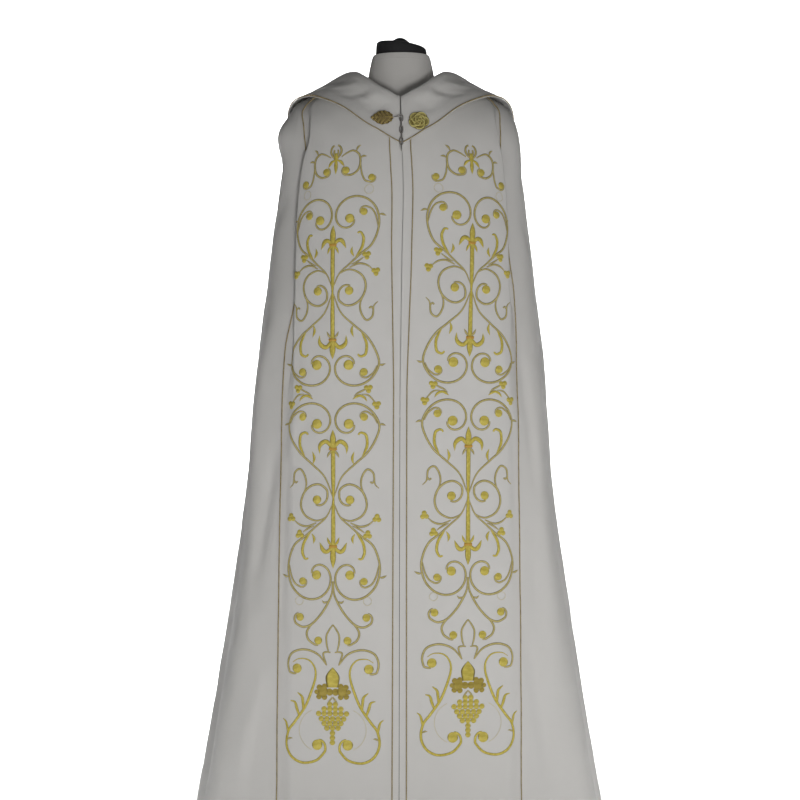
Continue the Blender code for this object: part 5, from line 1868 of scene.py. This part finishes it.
def makeRose(placeAt):
    radius = rosePlate["radius"]

    def reachOf(a):
        count, depth, sharpness = rosePlate["lobes"]
        lobe = 1 - depth + depth * abs(math.cos(count / 2 * (a - whorls[0][1]))) ** sharpness
        return radius * math.cos(a) * lobe, radius * rosePlate["squat"] * math.sin(a) * lobe

    def heightOf(x, y, share, angles):
        height = np.full(np.shape(angles), rosePlate["ground"])
        limit, soft = rosePlate["petalEdge"]
        for count, start, middle, length, width, base, cup, lean in whorls:
            for k in range(count):
                turn = angles - start - 2 * math.pi * k / count
                outwards, across = share * np.cos(turn), share * np.sin(turn)
                reached = np.hypot((outwards - middle) / length, across / width)
                cupped = base + (cup * np.clip(reached, 0, 1) ** 2 + lean * across / width)
                height = np.maximum(height, cupped * ease((limit - reached) / soft))
        heart, fall, reach = rosePlate["heart"]
        return np.maximum(height, heart - fall * (share / reach) ** 2)

    return reliefMesh("gilt_rose", reachOf, heightOf, placeAt)


def sweepWire(name, points, normal, closed, body, node):
    # round wire along a closed or open path
    path = smoothPath(points, wire["step"], closed=closed)
    if closed:
        path = path[:-1]
    ways = np.repeat(np.array([normal], dtype=float), len(path), axis=0)
    half = wire["width"] / 2
    stroke = {"points": path, "normals": ways, "widths": half, "crowns": half, "closed": closed}
    values = {"Sides": wire["sides"], "Underlay": 1.0}
    piece = growNodes(name, lineMesh(name, [stroke]), satinTree, values, "steel", "chain_metal", body)
    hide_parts(node)


def toWorld(points, matrix):
    return [tuple(matrix @ Vector(point)) for point in points]


def makePlates():
    leaf = hoodSpot("left", leafPlate["x"], leafPlate["z"])
    rose = hoodSpot("right", rosePlate["x"], rosePlate["z"])
    lifted = Matrix.Translation((0, 0, plate["lift"]))
    piece = finishObject("gilt_leaf", makeLeaf(leaf @ lifted), "oldGold", "gold_metal")
    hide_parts("clasp_leaf")
    piece = finishObject("gilt_rose", makeRose(rose @ lifted), "gold", "gold_metal")
    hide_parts("clasp_rose")
    return leaf


def makeEye(leaf):
    # the eye leaves the leaf's side, stands out and bends into a long loop
    hang = Matrix.Rotation(-chain["slope"], 4, "X") @ Matrix.Rotation(math.pi / 2, 4, "X")
    hang.translation = leaf @ Vector((0, 0, chain["standoff"]))
    out = (hang.to_3x3() @ Vector((0, 0, 1))).normalized()
    x = chain["x"] - leaf.translation.x
    radius = (wire["eyeWidth"] - wire["width"]) / 2
    start = leafPlate["length"] / 2 + shank["gap"]
    top = shank["top"] * radius
    bottom = top - (wire["eyeLength"] - wire["width"] - 2 * radius)
    path = [(start - shank["in"], 0.0, -shank["behind"]), (start + shank["out"], 0.0, -shank["behind"])]
    path.append((x - shank["turn"] * radius, 0.0, 0.0))
    for height, (first, last, count) in zip((top, bottom), eyeBends):
        angles = np.linspace(first * math.pi, last * math.pi, count)
        path += [(x + radius * math.cos(a), height + radius * math.sin(a), 0.0) for a in angles]
    path.append((x - radius, top - wire["width"] * shank["close"], 0.0))
    sweepWire("steel_eye", toWorld(path, hang), tuple(out), False, "garment", "clasp_eye")
    return hang @ Matrix.Translation((x, bottom - radius + wire["width"] + chain["play"], 0))


def makeChain(hanger):
    # links hang edge-on and face-on in turn
    middle = chain["length"] - wire["width"]
    bend = (chain["width"] - wire["width"]) / 2
    straight = middle / 2 - bend
    upper = [(bend * math.cos(a), straight + bend * math.sin(a)) for a in np.linspace(0, math.pi, 9)]
    loop = upper + [(-x, -y) for x, y in upper]
    for k in range(chain["count"]):
        centre = -middle / 2 - k * (middle - wire["width"] - chain["play"])
        edgeOn = k % 2 == 0
        points = [(0.0, y + centre, x) if edgeOn else (x, y + centre, 0.0) for x, y in loop]
        way = hanger.to_3x3() @ (Vector((1, 0, 0)) if edgeOn else Vector((0, 0, 1)))
        label = f"link_{k + 1}"
        sweepWire("steel_" + label, toWorld(points, hanger), tuple(way), True, "chain", "chain_" + label)


makeChain(makeEye(makePlates()))
print("clasp and chain ready")


for name, (flat, area) in flatCut.items():
    kind, side = name.rsplit("_", 1)
